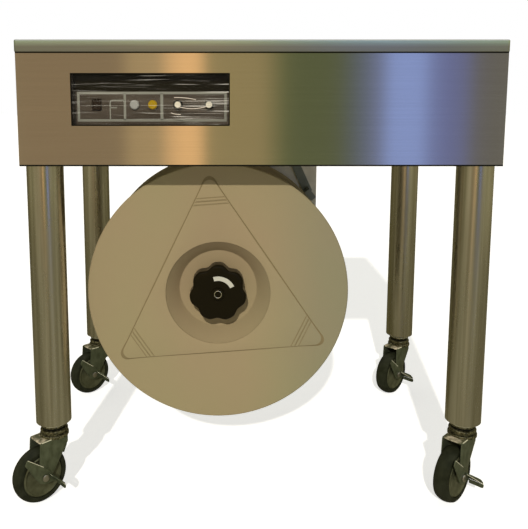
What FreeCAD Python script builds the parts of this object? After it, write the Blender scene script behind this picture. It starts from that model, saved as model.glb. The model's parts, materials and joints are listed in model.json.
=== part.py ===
"""Semi-automatic strapping machine on castors, in millimetres.

+X is the operator's right, -Y is the front and +Z is up. The origin is on the
floor under the middle of the cabinet. The castors are swivelled as they stand
when the machine has just been pushed back: each wheel trails to the front left.
"""
import FreeCAD, Part
import math
import os
import re
import Sketcher

doc = FreeCAD.newDocument("strapping_machine")
sheet = doc.addObject("Spreadsheet::Sheet", "sizes")

# Driving dimensions, one table per piece of the machine
SIZES = {
    # Cabinet
    "body_wide": 895.0,
    "body_deep": 565.0,
    "body_high": 228.0,
    "table_high": 900.0,
    "table_edge": 22.0,
    "table_sheet": 2.0,
    "edge_sheet": 1.5,
    "edge_gap": 0.5,
    "panel_sheet": 1.5,
    "panel_flange": 18.0,
    "pan_sheet": 2.0,
    "seat_gap": 0.3,
    "pin_gap": 0.05,
    "overrun": 5.0,
    # Slot in the table and the opening round the slide plate
    "slot_back": 112.0,
    "slot_wide": 16.0,
    "bay_wide": 150.0,
    "slide_front": 33.0,
    "slide_long": 66.0,
    "slide_travel": 24.0,
    "slide_gap": 1.0,
    "hinge_x": 250.0,
    "hinge_long": 50.0,
    "hinge_radius": 5.0,
    "hinge_pin": 3.0,
    "hinge_ear": 8.0,
    "hinge_drop": 1.0,
    # Legs
    "leg_radius": 34.5,
    "leg_wall": 2.0,
    "leg_low": 156.0,
    "leg_inset": 2.8,
    "leg_plug": 12.0,
    "leg_nut_radius": 20.0,
    "leg_nut": 26.0,
    "leg_top": 8.0,
    "stud_radius": 6.0,
    "stud_high": 14.0,
    # Castors
    "swivel_turn": 45.0,
    "trail": 36.0,
    "wheel_radius": 55.0,
    "wheel_wide": 30.0,
    "tyre_thick": 13.0,
    "tyre_shoulder": 4.0,
    "hub_wide": 35.0,
    "hub_boss": 11.0,
    "hub_dish": 2.5,
    "axle_radius": 5.0,
    "stem_radius": 8.0,
    "stem_long": 30.0,
    "ring_radius": 26.5,
    "ring_high": 10.0,
    "neck_radius": 18.0,
    "neck_high": 4.0,
    "kingpin_radius": 6.0,
    "kingpin_head": 10.0,
    "crown_low": 124.5,
    "crown_sheet": 3.0,
    "dome_radius": 28.5,
    "dome_top_radius": 24.5,
    "arm_gap": 1.0,
    "arm_sheet": 2.5,
    "arm_back": 7.0,
    "arm_front": 54.0,
    "arm_tip_radius": 13.0,
    "axle_head": 7.0,
    "axle_head_thick": 3.0,
    "lever_sheet": 2.5,
    "lever_gap": 0.4,
    "lever_back": 37.0,
    "lever_rise": 51.0,
    "lever_wide": 10.0,
    "lever_reach": 27.0,
    "lever_drop": 13.0,
    "lever_out": 32.0,
    # Control recess
    "window_left": 98.5,
    "window_wide": 291.0,
    "window_up": 72.0,
    "window_high": 96.0,
    "bezel_wall": 8.0,
    "bezel_deep": 18.5,
    "plate_sheet": 3.0,
    "cover_sheet": 2.0,
    "cover_gap": 0.6,
    "flap_gap": 2.5,
    "flap_hinge_drop": 3.5,
    "flap_hinge_back": 3.2,
    "flap_barrel": 1.6,
    "flap_pin": 1.0,
    "flap_pin_long": 3.0,
    "control_up": 38.5,
    "rocker_share": 0.150515,
    "rocker_wide": 16.0,
    "rocker_high": 20.0,
    "rocker_proud": 4.0,
    "rocker_gap": 1.0,
    "rocker_deep": 14.0,
    "reset_share": 0.392784,
    "lamp_share": 0.508591,
    "button_radius": 8.5,
    "button_proud": 6.0,
    "button_lip": 1.5,
    "button_lip_thick": 1.5,
    "button_travel": 3.0,
    "button_gap": 0.1,
    "tension_share": 0.670103,
    "length_share": 0.868041,
    "knob_radius": 7.0,
    "knob_skirt": 9.0,
    "knob_skirt_thick": 2.0,
    "knob_high": 13.0,
    "knob_shaft": 3.0,
    "board_back": 17.0,
    "board_sheet": 1.6,
    "board_high": 60.0,
    "pot_radius": 8.5,
    "post_radius": 3.0,
    # Strap reel
    "reel_off": 81.0,
    "reel_gap": 4.0,
    "reel_front": 73.0,
    "reel_radius": 262.0,
    "coil_wide": 190.0,
    "flange_sheet": 4.0,
    "rim_deep": 8.0,
    "rim_thick": 5.0,
    "cup_radius": 105.0,
    "cup_floor": 81.0,
    "cup_deep": 38.0,
    "tri_reach_share": 0.882,
    "tri_corner_share": 0.0535,
    "tri_turn": 4.3,
    "tri_rise": 2.5,
    "bar_outer_share": 0.744,
    "bar_inner_share": 0.69,
    "bar_rise": 1.5,
    "shaft_radius": 10.0,
    "clamp_radius": 58.0,
    "clamp_high": 45.0,
    "clamp_edge": 4.0,
    "lobe_radius": 13.0,
    "lobe_bite": 6.0,
    "lobe_count": 7,
    "cap_radius": 12.0,
    "cap_high": 4.0,
    "collar_radius": 16.0,
    "collar_long": 8.0,
    "bearing_radius": 30.0,
    "bearing_long": 34.0,
    "nut_radius": 15.0,
    "nut_long": 10.0,
    # Reel support and brake arm
    "support_right": 146.0,
    "support_left": 200.0,
    "support_sheet": 4.0,
    "support_straight": 140.0,
    "support_nose": 52.0,
    "support_foot": 40.0,
    "brake_pin_x": 92.0,
    "brake_pin_drop": 20.0,
    "brake_pin_radius": 5.0,
    "brake_boss": 11.0,
    "brake_wide": 20.0,
    "brake_thick": 6.0,
    "brake_lean": 32.0,
    "shoe_long": 24.0,
    "shoe_wide": 14.0,
    "shoe_angle": 39.5,
    # Strapping head
    "cam_up": 88.0,
    "cam_radius": 26.0,
    "cam_throw": 6.0,
    "cam_wide": 14.0,
    "cam_pitch": 34.0,
    "cam_bar_radius": 10.0,
    "cam_bar_right": 88.0,
    "cam_bar_left": 120.0,
    "cheek_in": 58.0,
    "cheek_sheet": 8.0,
    "cheek_deep": 45.0,
    "head_gap": 5.0,
    "head_deep": 43.0,
    "bar_wide": 17.4,
    "bar_thick": 29.4,
    "bar_drop": 13.0,
    "bar_slot_gap": 0.3,
    "shelf_wide": 40.0,
    "shelf_long": 72.0,
    "shelf_thick": 16.0,
    "shelf_drop": 43.0,
    "blade_wide": 12.0,
    "blade_sheet": 1.5,
    "blade_tip": 22.0,
    "blade_travel": 33.0,
    "carrier_long": 30.0,
    "carrier_wide": 30.0,
    # Drives and mains parts
    "reducer_wide": 80.0,
    "reducer_deep": 92.0,
    "reducer_high": 130.0,
    "motor_radius": 52.0,
    "motor_long": 170.0,
    "motor_foot": 70.0,
    "feed_x": 160.0,
    "feed_up": 112.0,
    "feed_radius": 28.0,
    "feed_wide": 24.0,
    "feed_groove": 2.0,
    "feed_shaft": 6.0,
    "feed_back": 30.0,
    "feed_plate_wide": 80.0,
    "feed_plate": 6.0,
    "feed_motor_radius": 32.0,
    "feed_motor_long": 80.0,
    "inlet_slot_x": 120.0,
    "inlet_slot_wide": 44.0,
    "inlet_slot_deep": 24.0,
    "trafo_off": 117.5,
    "trafo_y": 120.0,
    "trafo_wide": 92.0,
    "trafo_deep": 76.0,
    "trafo_high": 80.0,
    "trafo_coil": 54.0,
    "trafo_leg": 16.0,
    "inlet_x": 300.0,
    "inlet_up": 60.0,
    "inlet_wide": 48.0,
    "inlet_high": 28.0,
    "inlet_deep": 24.0,
    "inlet_lip": 5.0,
    "inlet_lip_thick": 2.0,
    "inlet_wall": 2.0,
    "vent_x": 60.0,
    "vent_long": 88.0,
    "vent_high": 5.0,
    "vent_pitch": 14.0,
    "vent_count": 7,
}

for row, (alias, number) in enumerate(SIZES.items(), start=1):
    cell = "B%d" % row
    sheet.set("A%d" % row, alias)
    sheet.set(cell, str(number))
    sheet.setAlias(cell, alias)
doc.recompute()

SQUARE = FreeCAD.Rotation(FreeCAD.Vector(1, 0, 0), 90)
SIDEWAYS = FreeCAD.Rotation(FreeCAD.Vector(0, 1, 0), 90)
UP = FreeCAD.Rotation()


def val(text):
    """The number that an expression of sheet names works out to."""
    return float(sheet.evalExpression(text))


def tie(text):
    """The same expression, written so that an object of the document can use it."""
    return re.sub(r"[a-z_]+\w*", lambda m: "sizes." + m.group(0) if m.group(0) in SIZES else m.group(0), text)


def seat(item, place, turn=UP):
    """Put an item at a place of three expressions."""
    item.Placement = FreeCAD.Placement(FreeCAD.Vector(0, 0, 0), turn)
    for axis, text in zip("xyz", place):
        item.setExpression("Placement.Base.%s" % axis, tie(text))
    return item


def box(label, low, high):
    """A block between two corners given as expressions."""
    item = doc.addObject("Part::Box", label)
    for side, start, end in zip(("Length", "Width", "Height"), low, high):
        item.setExpression(side, tie("(%s) - (%s)" % (end, start)))
    return seat(item, low)


def rod(label, radius, start, length, turn=UP):
    """A round bar that leaves its start along the turned Z axis."""
    item = doc.addObject("Part::Cylinder", label)
    item.setExpression("Radius", tie(radius))
    item.setExpression("Height", tie(length))
    return seat(item, start, turn)


def cut(label, base, *tools):
    """Take the tools out of a base, one after the other."""
    for number, tool in enumerate(tools):
        last = number == len(tools) - 1
        item = doc.addObject("Part::Cut", label if last else "%s_cut%d" % (label, number))
        item.Base, item.Tool = base, tool
        base = item
    return base


def fuse(label, *items):
    """Join items that are one piece of metal or plastic."""
    item = doc.addObject("Part::MultiFuse", label)
    item.Shapes = list(items)
    item.Refine = True
    return item


def plane(body, role):
    """One of a body's own origin planes."""
    return [f for f in body.Origin.OriginFeatures if f.Role == role][0]


def sketch(body, name, role, corners, circles=(), lift="0"):
    """A closed outline of straight sides through corners, with circles, tied to the sheet."""
    item = body.newObject("Sketcher::SketchObject", name)
    item.AttachmentSupport = [(plane(body, role), "")]
    item.MapMode = "FlatFace"
    item.setExpression("AttachmentOffset.Base.z", tie(lift))
    points = [FreeCAD.Vector(val(x), val(y), 0) for x, y in corners]
    for i, point in enumerate(points):
        item.addGeometry(Part.LineSegment(point, points[(i + 1) % len(points)]))
    for i in range(len(points)):
        item.addConstraint(Sketcher.Constraint("Coincident", i, 2, (i + 1) % len(points), 1))
    for i, (x, y) in enumerate(corners):
        pin(item, i, 1, x, y, points[i])
    for x, y, radius in circles:
        centre = FreeCAD.Vector(val(x), val(y), 0)
        g = item.addGeometry(Part.Circle(centre, FreeCAD.Vector(0, 0, 1), val(radius)))
        pin(item, g, 3, x, y, centre)
        k = item.addConstraint(Sketcher.Constraint("Radius", g, val(radius)))
        item.setExpression("Constraints[%d]" % k, tie(radius))
    return item


def pin(item, geometry, end, x, y, point):
    """Hold one point of a sketch at two expressions."""
    for kind, text, number in (("DistanceX", x, point.x), ("DistanceY", y, point.y)):
        k = item.addConstraint(Sketcher.Constraint(kind, -1, 1, geometry, end, number))
        item.setExpression("Constraints[%d]" % k, tie(text))


def body(label):
    return doc.addObject("PartDesign::Body", label)


def feature(owner, kind, name, profile, length, both=False, back=False):
    """A Pad or Pocket of a body."""
    item = owner.newObject("PartDesign::" + kind, name)
    item.Profile = profile
    item.setExpression("Length", tie(length))
    if both:
        item.Midplane = True
    if back:
        item.Reversed = True
    doc.recompute()
    return item


def turned(label, corners, place, turn=UP):
    """A piece turned about its own Z axis from an outline of (radius, height) corners."""
    owner = body(label)
    profile = sketch(owner, label + "_profile", "XZ_Plane", corners)
    item = owner.newObject("PartDesign::Revolution", label + "_turn")
    item.Profile = profile
    item.ReferenceAxis = (profile, ["V_Axis"])
    item.Angle = 360
    doc.recompute()
    return seat(owner, place, turn)


def shaped(label, shape, place=("0", "0", "0"), turn=UP):
    """A piece whose form is worked out below from the sheet."""
    item = doc.addObject("Part::Feature", label)
    item.Shape = shape
    return seat(item, place, turn)


NODES = []


def keep(item):
    NODES.append(item)
    return item


# Places that several pieces share, as expressions
BODY_LOW = "(table_high - body_high)"
REEL_Z = "(table_high - body_high - reel_gap - reel_radius)"
FACE = "-body_deep / 2"
BACK = "body_deep / 2"
SIDE = "body_wide / 2"
TABLE_UNDER = "table_high - table_sheet"
SLOT = "-slot_back"
PAN_LOW = BODY_LOW + " + panel_sheet"
PAN_TOP = BODY_LOW + " + panel_sheet + pan_sheet"
LEG_X = "body_wide / 2 - leg_inset - leg_radius"
LEG_Y = "body_deep / 2 - leg_inset - leg_radius"
WINDOW_X = "-body_wide / 2 + window_left"
WINDOW_Z = BODY_LOW + " + window_up"
BEZEL_BACK = "-body_deep / 2 + panel_sheet + bezel_deep + plate_sheet"
FLAP_Y = FACE + " + flap_hinge_back"
FLAP_Z = WINDOW_Z + " + window_high - flap_hinge_drop"
ROCKER_X = WINDOW_X + " + rocker_share * window_wide"
RESET_X = WINDOW_X + " + reset_share * window_wide"
LAMP_X = WINDOW_X + " + lamp_share * window_wide"
TENSION_X = WINDOW_X + " + tension_share * window_wide"
LENGTH_X = WINDOW_X + " + length_share * window_wide"
CONTROLS = [
    ("reset", RESET_X, "button_radius + button_gap"),
    ("lamp", LAMP_X, "button_radius + button_gap"),
    ("tension", TENSION_X, "knob_shaft + button_gap"),
    ("length", LENGTH_X, "knob_shaft + button_gap"),
]
PLATE_FRONT = "-body_deep / 2 + panel_sheet + bezel_deep"
CONTROL_Z = BODY_LOW + " + window_up + control_up"
SLIDE_LOW = SLOT + " - slide_front"
HINGE_Y = "body_deep / 2 + hinge_radius + seat_gap"
HINGE_Z = "table_high - table_edge - hinge_drop"
HINGES = [("left", "-hinge_x - hinge_long"), ("right", "hinge_x")]
REEL_X = "-reel_off"
REEL_FRONT = "-body_deep / 2 + reel_front"
REEL_BACK = "-body_deep / 2 + reel_front + coil_wide + 2 * flange_sheet"
BRAKE_Z = "(%s - brake_pin_drop)" % BODY_LOW
SUPPORT_Y = REEL_BACK + " + collar_long + bearing_long"
CAM_Z = PAN_TOP + " + cam_up"
HEAD_TOP = TABLE_UNDER + " - head_gap"


def tray(label, low, high, open_back):
    """A folded panel: a sheet with a flange turned in along each of its four edges."""
    outer = box(label + "_outer", low, high)
    inner_low = [t + " + panel_sheet" for t in low]
    inner_high = [t + " - panel_sheet" for t in high]
    if open_back:
        inner_high[1] = high[1] + " + overrun"
    else:
        inner_low[1] = low[1] + " - overrun"
    return outer, box(label + "_inner", inner_low, inner_high)


def front_panel():
    low = ("-(%s)" % SIDE, FACE, BODY_LOW)
    high = (SIDE, FACE + " + panel_flange", TABLE_UNDER)
    outer, inner = tray("front_sheet", low, high, True)
    window = box(
        "window",
        (WINDOW_X, FACE + " - overrun", WINDOW_Z),
        (WINDOW_X + " + window_wide", FACE + " + overrun", WINDOW_Z + " + window_high"),
    )
    return cut("front_panel", outer, inner, window)


def rear_panel():
    low = ("-(%s)" % SIDE, BACK + " - panel_flange", BODY_LOW)
    high = (SIDE, BACK, TABLE_UNDER)
    outer, inner = tray("rear_tray", low, high, False)
    inlet_z = PAN_TOP + " + inlet_up"
    tools = [
        box(
            "inlet_cut",
            ("inlet_x - inlet_wide / 2", BACK + " - overrun", inlet_z),
            ("inlet_x + inlet_wide / 2", BACK + " + overrun", inlet_z + " + inlet_high"),
        )
    ]
    for i in range(int(val("vent_count"))):
        z = "%s + inlet_up + %d * vent_pitch" % (PAN_TOP, i)
        for name, x in (("left", "-vent_x - vent_long"), ("right", "vent_x")):
            tools.append(
                box(
                    "vent_%s_%d" % (name, i),
                    (x, BACK + " - overrun", z),
                    (x + " + vent_long", BACK + " + overrun", z + " + vent_high"),
                )
            )
    ears = []
    for name, x in HINGES:
        for end, start in (("low", x + " - hinge_ear - seat_gap"), ("high", x + " + hinge_long + seat_gap")):
            ears.append(
                box(
                    "hinge_ear_%s_%s" % (name, end),
                    (start, BACK, HINGE_Z + " - hinge_radius"),
                    (start + " + hinge_ear", HINGE_Y + " + hinge_radius", HINGE_Z + " + seat_gap"),
                )
            )
        start = (x + " - hinge_ear - seat_gap", HINGE_Y, HINGE_Z)
        length = "hinge_long + 2 * (hinge_ear + seat_gap)"
        ears.append(rod("hinge_pin_" + name, "hinge_pin", start, length, SIDEWAYS))
    return fuse("rear_panel", cut("rear_sheet", outer, inner, *tools), *ears)


def side_panel(name, sign):
    """A channel: the side sheet with a flange turned in along its top and bottom."""
    y_low = FACE + " + panel_flange"
    y_high = BACK + " - panel_flange"
    near, far = "(%s - panel_flange)" % SIDE, "(%s)" % SIDE
    if sign < 0:
        near, far = "-" + near, "-" + far
    ends = (near, far) if sign > 0 else (far, near)
    outer = box(name + "_outer", (ends[0], y_low, BODY_LOW), (ends[1], y_high, TABLE_UNDER))
    open_low = ends[0] + (" - overrun" if sign > 0 else " + panel_sheet")
    open_high = ends[1] + (" - panel_sheet" if sign > 0 else " + overrun")
    inner = box(
        name + "_inner",
        (open_low, y_low + " - overrun", PAN_LOW),
        (open_high, y_high + " + overrun", TABLE_UNDER + " - panel_sheet"),
    )
    return cut(name, outer, inner)


def bottom_pan():
    sheet_box = box(
        "pan_sheet_box",
        ("-(%s) + panel_sheet" % SIDE, FACE + " + panel_sheet", PAN_LOW),
        (SIDE + " - panel_sheet", BACK + " - panel_sheet", PAN_TOP),
    )
    tools = [
        box(
            "strap_inlet",
            (
                "inlet_slot_x - inlet_slot_wide / 2",
                SLOT + " - inlet_slot_deep / 2",
                PAN_LOW + " - overrun",
            ),
            (
                "inlet_slot_x + inlet_slot_wide / 2",
                SLOT + " + inlet_slot_deep / 2",
                PAN_TOP + " + overrun",
            ),
        )
    ]
    for name, x, y in LEGS:
        tools.append(
            rod("pan_hole_" + name, "stud_radius + pin_gap", (x, y, PAN_LOW + " - overrun"), "4 * overrun")
        )
    return cut("bottom_pan", sheet_box, *tools)


def table_plate(name, low_y, high_y, open_side, bay_low, bay_high):
    """A table plate with its edge turned down on the three outer sides."""
    edge = "(edge_gap + edge_sheet)"
    low = ("-(%s) - %s" % (SIDE, edge), low_y, "table_high - table_edge")
    high = ("%s + %s" % (SIDE, edge), high_y, "table_high")
    outer = box(name + "_outer", low, high)
    inner_low = [low[0] + " + edge_sheet", low[1] + " + edge_sheet", low[2] + " - overrun"]
    inner_high = [high[0] + " - edge_sheet", high[1] + " - edge_sheet", TABLE_UNDER]
    if open_side > 0:
        inner_high[1] = high[1] + " + overrun"
    else:
        inner_low[1] = low[1] + " - overrun"
    inner = box(name + "_inner", inner_low, inner_high)
    bay = box(
        name + "_bay",
        ("-bay_wide / 2", bay_low, TABLE_UNDER + " - overrun"),
        ("bay_wide / 2", bay_high, "table_high + overrun"),
    )
    return cut(name, outer, inner, bay)


def table_front():
    return table_plate(
        "table_front",
        FACE + " - edge_gap - edge_sheet",
        SLOT + " - slot_wide / 2",
        1,
        SLIDE_LOW + " - slide_gap",
        SLOT + " + overrun",
    )


def table_rear():
    """The rear plate, which lifts on two barrels behind its rear edge."""
    plate = table_plate(
        "table_rear_plate",
        SLOT + " + slot_wide / 2",
        BACK + " + edge_gap + edge_sheet",
        -1,
        SLOT + " - overrun",
        SLIDE_LOW + " + slide_long + slide_travel + slide_gap",
    )
    barrels, bores = [], []
    for name, x in HINGES:
        barrels.append(rod("barrel_" + name, "hinge_radius", (x, HINGE_Y, HINGE_Z), "hinge_long", SIDEWAYS))
        start = (x + " - overrun", HINGE_Y, HINGE_Z)
        bores.append(
            rod("barrel_bore_" + name, "hinge_pin + pin_gap", start, "hinge_long + 2 * overrun", SIDEWAYS)
        )
    return cut("table_rear", fuse("table_rear_block", plate, *barrels), *bores)


def slide_plate():
    low_y = SLIDE_LOW
    plate = box(
        "slide_sheet",
        ("-bay_wide / 2 + slide_gap", low_y, TABLE_UNDER),
        ("bay_wide / 2 - slide_gap", low_y + " + slide_long", "table_high"),
    )
    runners = []
    for name, x in (("left", "-cheek_in - cheek_sheet"), ("right", "cheek_in")):
        runners.append(
            box(
                "runner_" + name,
                (x, low_y, HEAD_TOP + " + seat_gap"),
                (x + " + cheek_sheet", low_y + " + slide_long", TABLE_UNDER),
            )
        )
    return fuse("slide_plate", plate, *runners)


LEGS = [
    ("front_left", "-(%s)" % LEG_X, "-(%s)" % LEG_Y),
    ("front_right", LEG_X, "-(%s)" % LEG_Y),
    ("rear_left", "-(%s)" % LEG_X, LEG_Y),
    ("rear_right", LEG_X, LEG_Y),
]
BORE = "stem_radius + pin_gap"


def leg(name, x, y):
    """A closed tube with a welded foot that takes the castor's stem, and a stud on top."""
    high = BODY_LOW + " - leg_low"
    corners = [
        (BORE, "0"),
        ("leg_radius", "0"),
        ("leg_radius", high),
        ("stud_radius", high),
        ("stud_radius", high + " + stud_high"),
        ("0", high + " + stud_high"),
        ("0", high + " - leg_top"),
        ("leg_radius - leg_wall", high + " - leg_top"),
        ("leg_radius - leg_wall", "leg_plug"),
        ("leg_nut_radius", "leg_plug"),
        ("leg_nut_radius", "leg_plug + leg_nut"),
        (BORE, "leg_plug + leg_nut"),
    ]
    return turned("leg_" + name, corners, (x, y, "leg_low"))


def caster_stem(name, x, y):
    """The screwed stem, its bearing ring under a neck and the kingpin that carries the fork."""
    crown = "crown_low - leg_low"
    corners = [
        ("0", "stem_long"),
        ("stem_radius", "stem_long"),
        ("stem_radius", "0"),
        ("neck_radius", "0"),
        ("neck_radius", "-neck_high"),
        ("ring_radius", "-neck_high"),
        ("ring_radius", "-neck_high - ring_high"),
        ("kingpin_radius", "-neck_high - ring_high"),
        ("kingpin_radius", crown + " - seat_gap"),
        ("kingpin_head", crown + " - seat_gap"),
        ("kingpin_head", crown + " - seat_gap - crown_sheet"),
        ("0", crown + " - seat_gap - crown_sheet"),
    ]
    return turned("caster_stem_" + name, corners, (x, y, "leg_low"))


ARM_IN = "hub_wide / 2 + arm_gap"
ARM_OUT = "hub_wide / 2 + arm_gap + arm_sheet"


def swivelled(item, x, y):
    """Set a piece of a castor on the swivel axis, turned to where the wheel trails."""
    turn = FreeCAD.Rotation(FreeCAD.Vector(0, 0, 1), val("swivel_turn"))
    return seat(item, (x, y, "0"), turn)


def caster_fork(name, x, y):
    """A stamped fork with its swivel dome, the kingpin's hole and the riveted axle."""
    owner = body("caster_fork_" + name)
    top = "crown_low + crown_sheet"
    dome_top = "leg_low - neck_high - ring_high - seat_gap"
    arm = sketch(
        owner,
        "arm_" + name,
        "XZ_Plane",
        [
            ("-trail - arm_tip_radius", "wheel_radius"),
            ("-trail + arm_tip_radius", "wheel_radius"),
            ("arm_front - trail", "crown_low - arm_tip_radius"),
            ("arm_front - trail", top),
            ("-trail - arm_back", top),
        ],
    )
    feature(owner, "Pad", "arms_" + name, arm, "2 * (%s)" % ARM_OUT, both=True)
    tip = sketch(owner, "tip_" + name, "XZ_Plane", [], [("-trail", "wheel_radius", "arm_tip_radius")])
    feature(owner, "Pad", "tips_" + name, tip, "2 * (%s)" % ARM_OUT, both=True)
    gap = sketch(
        owner,
        "gap_" + name,
        "XZ_Plane",
        [
            ("-trail - arm_front", "0"),
            ("arm_front", "0"),
            ("arm_front", "crown_low"),
            ("-trail - arm_front", "crown_low"),
        ],
    )
    feature(owner, "Pocket", "throat_" + name, gap, "2 * (%s)" % ARM_IN, both=True)
    axle = sketch(owner, "axle_" + name, "XZ_Plane", [], [("-trail", "wheel_radius", "axle_radius")])
    outer = "%s + lever_gap + lever_sheet + lever_gap" % ARM_OUT
    feature(owner, "Pad", "axle_bar_" + name, axle, "2 * (%s)" % outer, both=True)
    for side, sign in (("near", ""), ("far", "-")):
        lift = "%s(%s)" % (sign, outer)
        circle = ("-trail", "wheel_radius", "axle_head")
        head = sketch(owner, "head_%s_%s" % (side, name), "XZ_Plane", [], [circle], lift)
        feature(owner, "Pad", "rivet_%s_%s" % (side, name), head, "axle_head_thick", back=side == "far")
    dome = sketch(
        owner,
        "dome_" + name,
        "XZ_Plane",
        [
            ("kingpin_radius + pin_gap", "crown_low + crown_sheet / 2"),
            ("dome_radius", "crown_low + crown_sheet / 2"),
            ("dome_radius", top),
            ("dome_top_radius", dome_top),
            ("kingpin_radius + pin_gap", dome_top),
        ],
    )
    turn = owner.newObject("PartDesign::Revolution", "dome_turn_" + name)
    turn.Profile = dome
    turn.ReferenceAxis = (dome, ["V_Axis"])
    turn.Angle = 360
    doc.recompute()
    hole = sketch(owner, "hole_" + name, "XY_Plane", [], [("0", "0", "kingpin_radius + pin_gap")])
    feature(owner, "Pocket", "kingpin_hole_" + name, hole, "2 * leg_low", both=True)
    return swivelled(owner, x, y)


def wheel_place(x, y):
    return (
        "%s - trail * cos(swivel_turn)" % x,
        "%s - trail * sin(swivel_turn)" % y,
        "wheel_radius",
    )


def wheel_turn():
    return FreeCAD.Rotation(FreeCAD.Vector(0, 0, 1), val("swivel_turn")).multiply(SQUARE)


def tyre(name, x, y):
    half = "wheel_wide / 2"
    bore = "wheel_radius - tyre_thick + pin_gap"
    corners = [
        (bore, "-(%s)" % half),
        ("wheel_radius - tyre_shoulder", "-(%s)" % half),
        ("wheel_radius", "-(%s) + tyre_shoulder" % half),
        ("wheel_radius", "%s - tyre_shoulder" % half),
        ("wheel_radius - tyre_shoulder", half),
        (bore, half),
    ]
    return turned("tyre_" + name, corners, wheel_place(x, y), wheel_turn())


def wheel_hub(name, x, y):
    """The hub with its dust covers flat between the rim and the boss."""
    rim = "wheel_radius - tyre_thick"
    cover = "wheel_wide / 2 - hub_dish"
    corners = [
        ("axle_radius + pin_gap", "-hub_wide / 2"),
        ("hub_boss", "-hub_wide / 2"),
        ("hub_boss", "-(%s)" % cover),
        (rim, "-(%s)" % cover),
        (rim, cover),
        ("hub_boss", cover),
        ("hub_boss", "hub_wide / 2"),
        ("axle_radius + pin_gap", "hub_wide / 2"),
    ]
    return turned("wheel_hub_" + name, corners, wheel_place(x, y), wheel_turn())


def brake_lever(name, x, y):
    """A stamped lever on the axle, with one tail above the tyre and a foot tread bent outwards."""
    owner = body("brake_lever_" + name)
    near = "%s + lever_gap" % ARM_OUT
    plate = sketch(
        owner,
        "lever_" + name,
        "XZ_Plane",
        [
            ("-trail - lever_back", "wheel_radius + lever_rise"),
            ("-trail - lever_back - lever_wide / 2", "wheel_radius + lever_rise - lever_wide"),
            ("-trail - arm_tip_radius", "wheel_radius - arm_tip_radius / 2"),
            ("-trail", "wheel_radius - arm_tip_radius"),
            ("-trail + arm_tip_radius", "wheel_radius - arm_tip_radius"),
            ("-trail + lever_reach", "wheel_radius - lever_drop - lever_sheet"),
            ("-trail + lever_reach", "wheel_radius - lever_drop"),
            ("-trail + axle_head", "wheel_radius + axle_head"),
        ],
        lift=near,
    )
    feature(owner, "Pad", "lever_plate_" + name, plate, "lever_sheet")
    tread = sketch(
        owner,
        "tread_" + name,
        "XZ_Plane",
        [
            ("-trail + lever_reach", "wheel_radius - lever_drop"),
            ("-trail + axle_head", "wheel_radius + axle_head"),
            ("-trail + axle_head", "wheel_radius + axle_head - lever_sheet"),
            ("-trail + lever_reach", "wheel_radius - lever_drop - lever_sheet"),
        ],
        lift=near,
    )
    feature(owner, "Pad", "lever_tread_" + name, tread, "lever_out")
    circle = ("-trail", "wheel_radius", "axle_radius + pin_gap")
    bore = sketch(owner, "bore_" + name, "XZ_Plane", [], [circle], lift=near)
    feature(owner, "Pocket", "lever_bore_" + name, bore, "2 * lever_out", both=True)
    return swivelled(owner, x, y)


def control_plate():
    """The moulded recess behind the window, with its holes for the switches."""
    outer = box(
        "bezel_outer",
        (WINDOW_X + " - bezel_wall", FACE + " + panel_sheet", WINDOW_Z + " - bezel_wall"),
        (WINDOW_X + " + window_wide + bezel_wall", BEZEL_BACK, WINDOW_Z + " + window_high + bezel_wall"),
    )
    recess = box(
        "bezel_recess",
        (WINDOW_X, FACE, WINDOW_Z),
        (WINDOW_X + " + window_wide", PLATE_FRONT, WINDOW_Z + " + window_high"),
    )
    housing = box(
        "rocker_housing",
        (
            ROCKER_X + " - rocker_wide / 2 - 2 * plate_sheet",
            BEZEL_BACK + " - overrun / 2",
            CONTROL_Z + " - rocker_high / 2 - 2 * plate_sheet",
        ),
        (
            ROCKER_X + " + rocker_wide / 2 + 2 * plate_sheet",
            PLATE_FRONT + " + rocker_deep",
            CONTROL_Z + " + rocker_high / 2 + 2 * plate_sheet",
        ),
    )
    tools = [
        recess,
        box(
            "rocker_hole",
            (
                ROCKER_X + " - rocker_wide / 2 - rocker_gap",
                PLATE_FRONT + " - overrun",
                CONTROL_Z + " - rocker_high / 2 - rocker_gap",
            ),
            (
                ROCKER_X + " + rocker_wide / 2 + rocker_gap",
                PLATE_FRONT + " + rocker_deep + overrun",
                CONTROL_Z + " + rocker_high / 2 + rocker_gap",
            ),
        ),
    ]
    for name, x, radius in CONTROLS:
        tools.append(
            rod(
                "hole_" + name,
                radius,
                (x, BEZEL_BACK + " + overrun", CONTROL_Z),
                "plate_sheet + 2 * overrun",
                SQUARE,
            )
        )
    start = (WINDOW_X + " - flap_pin_long - seat_gap", FLAP_Y, FLAP_Z)
    long = "window_wide + 2 * (flap_pin_long + seat_gap)"
    tools.append(rod("flap_pin_holes", "flap_pin + pin_gap", start, long, SIDEWAYS))
    pins = []
    for name, x in (
        ("left", ROCKER_X + " - rocker_wide / 2 - rocker_gap"),
        ("right", ROCKER_X + " + rocker_wide / 2 - rocker_gap"),
    ):
        pins.append(
            rod(
                "rocker_pin_" + name,
                "knob_shaft / 2",
                (x, PLATE_FRONT + " + rocker_deep / 2", CONTROL_Z),
                "2 * rocker_gap",
                SIDEWAYS,
            )
        )
    return fuse("control_plate", cut("bezel", fuse("bezel_block", outer, housing), *tools), *pins)




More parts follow.
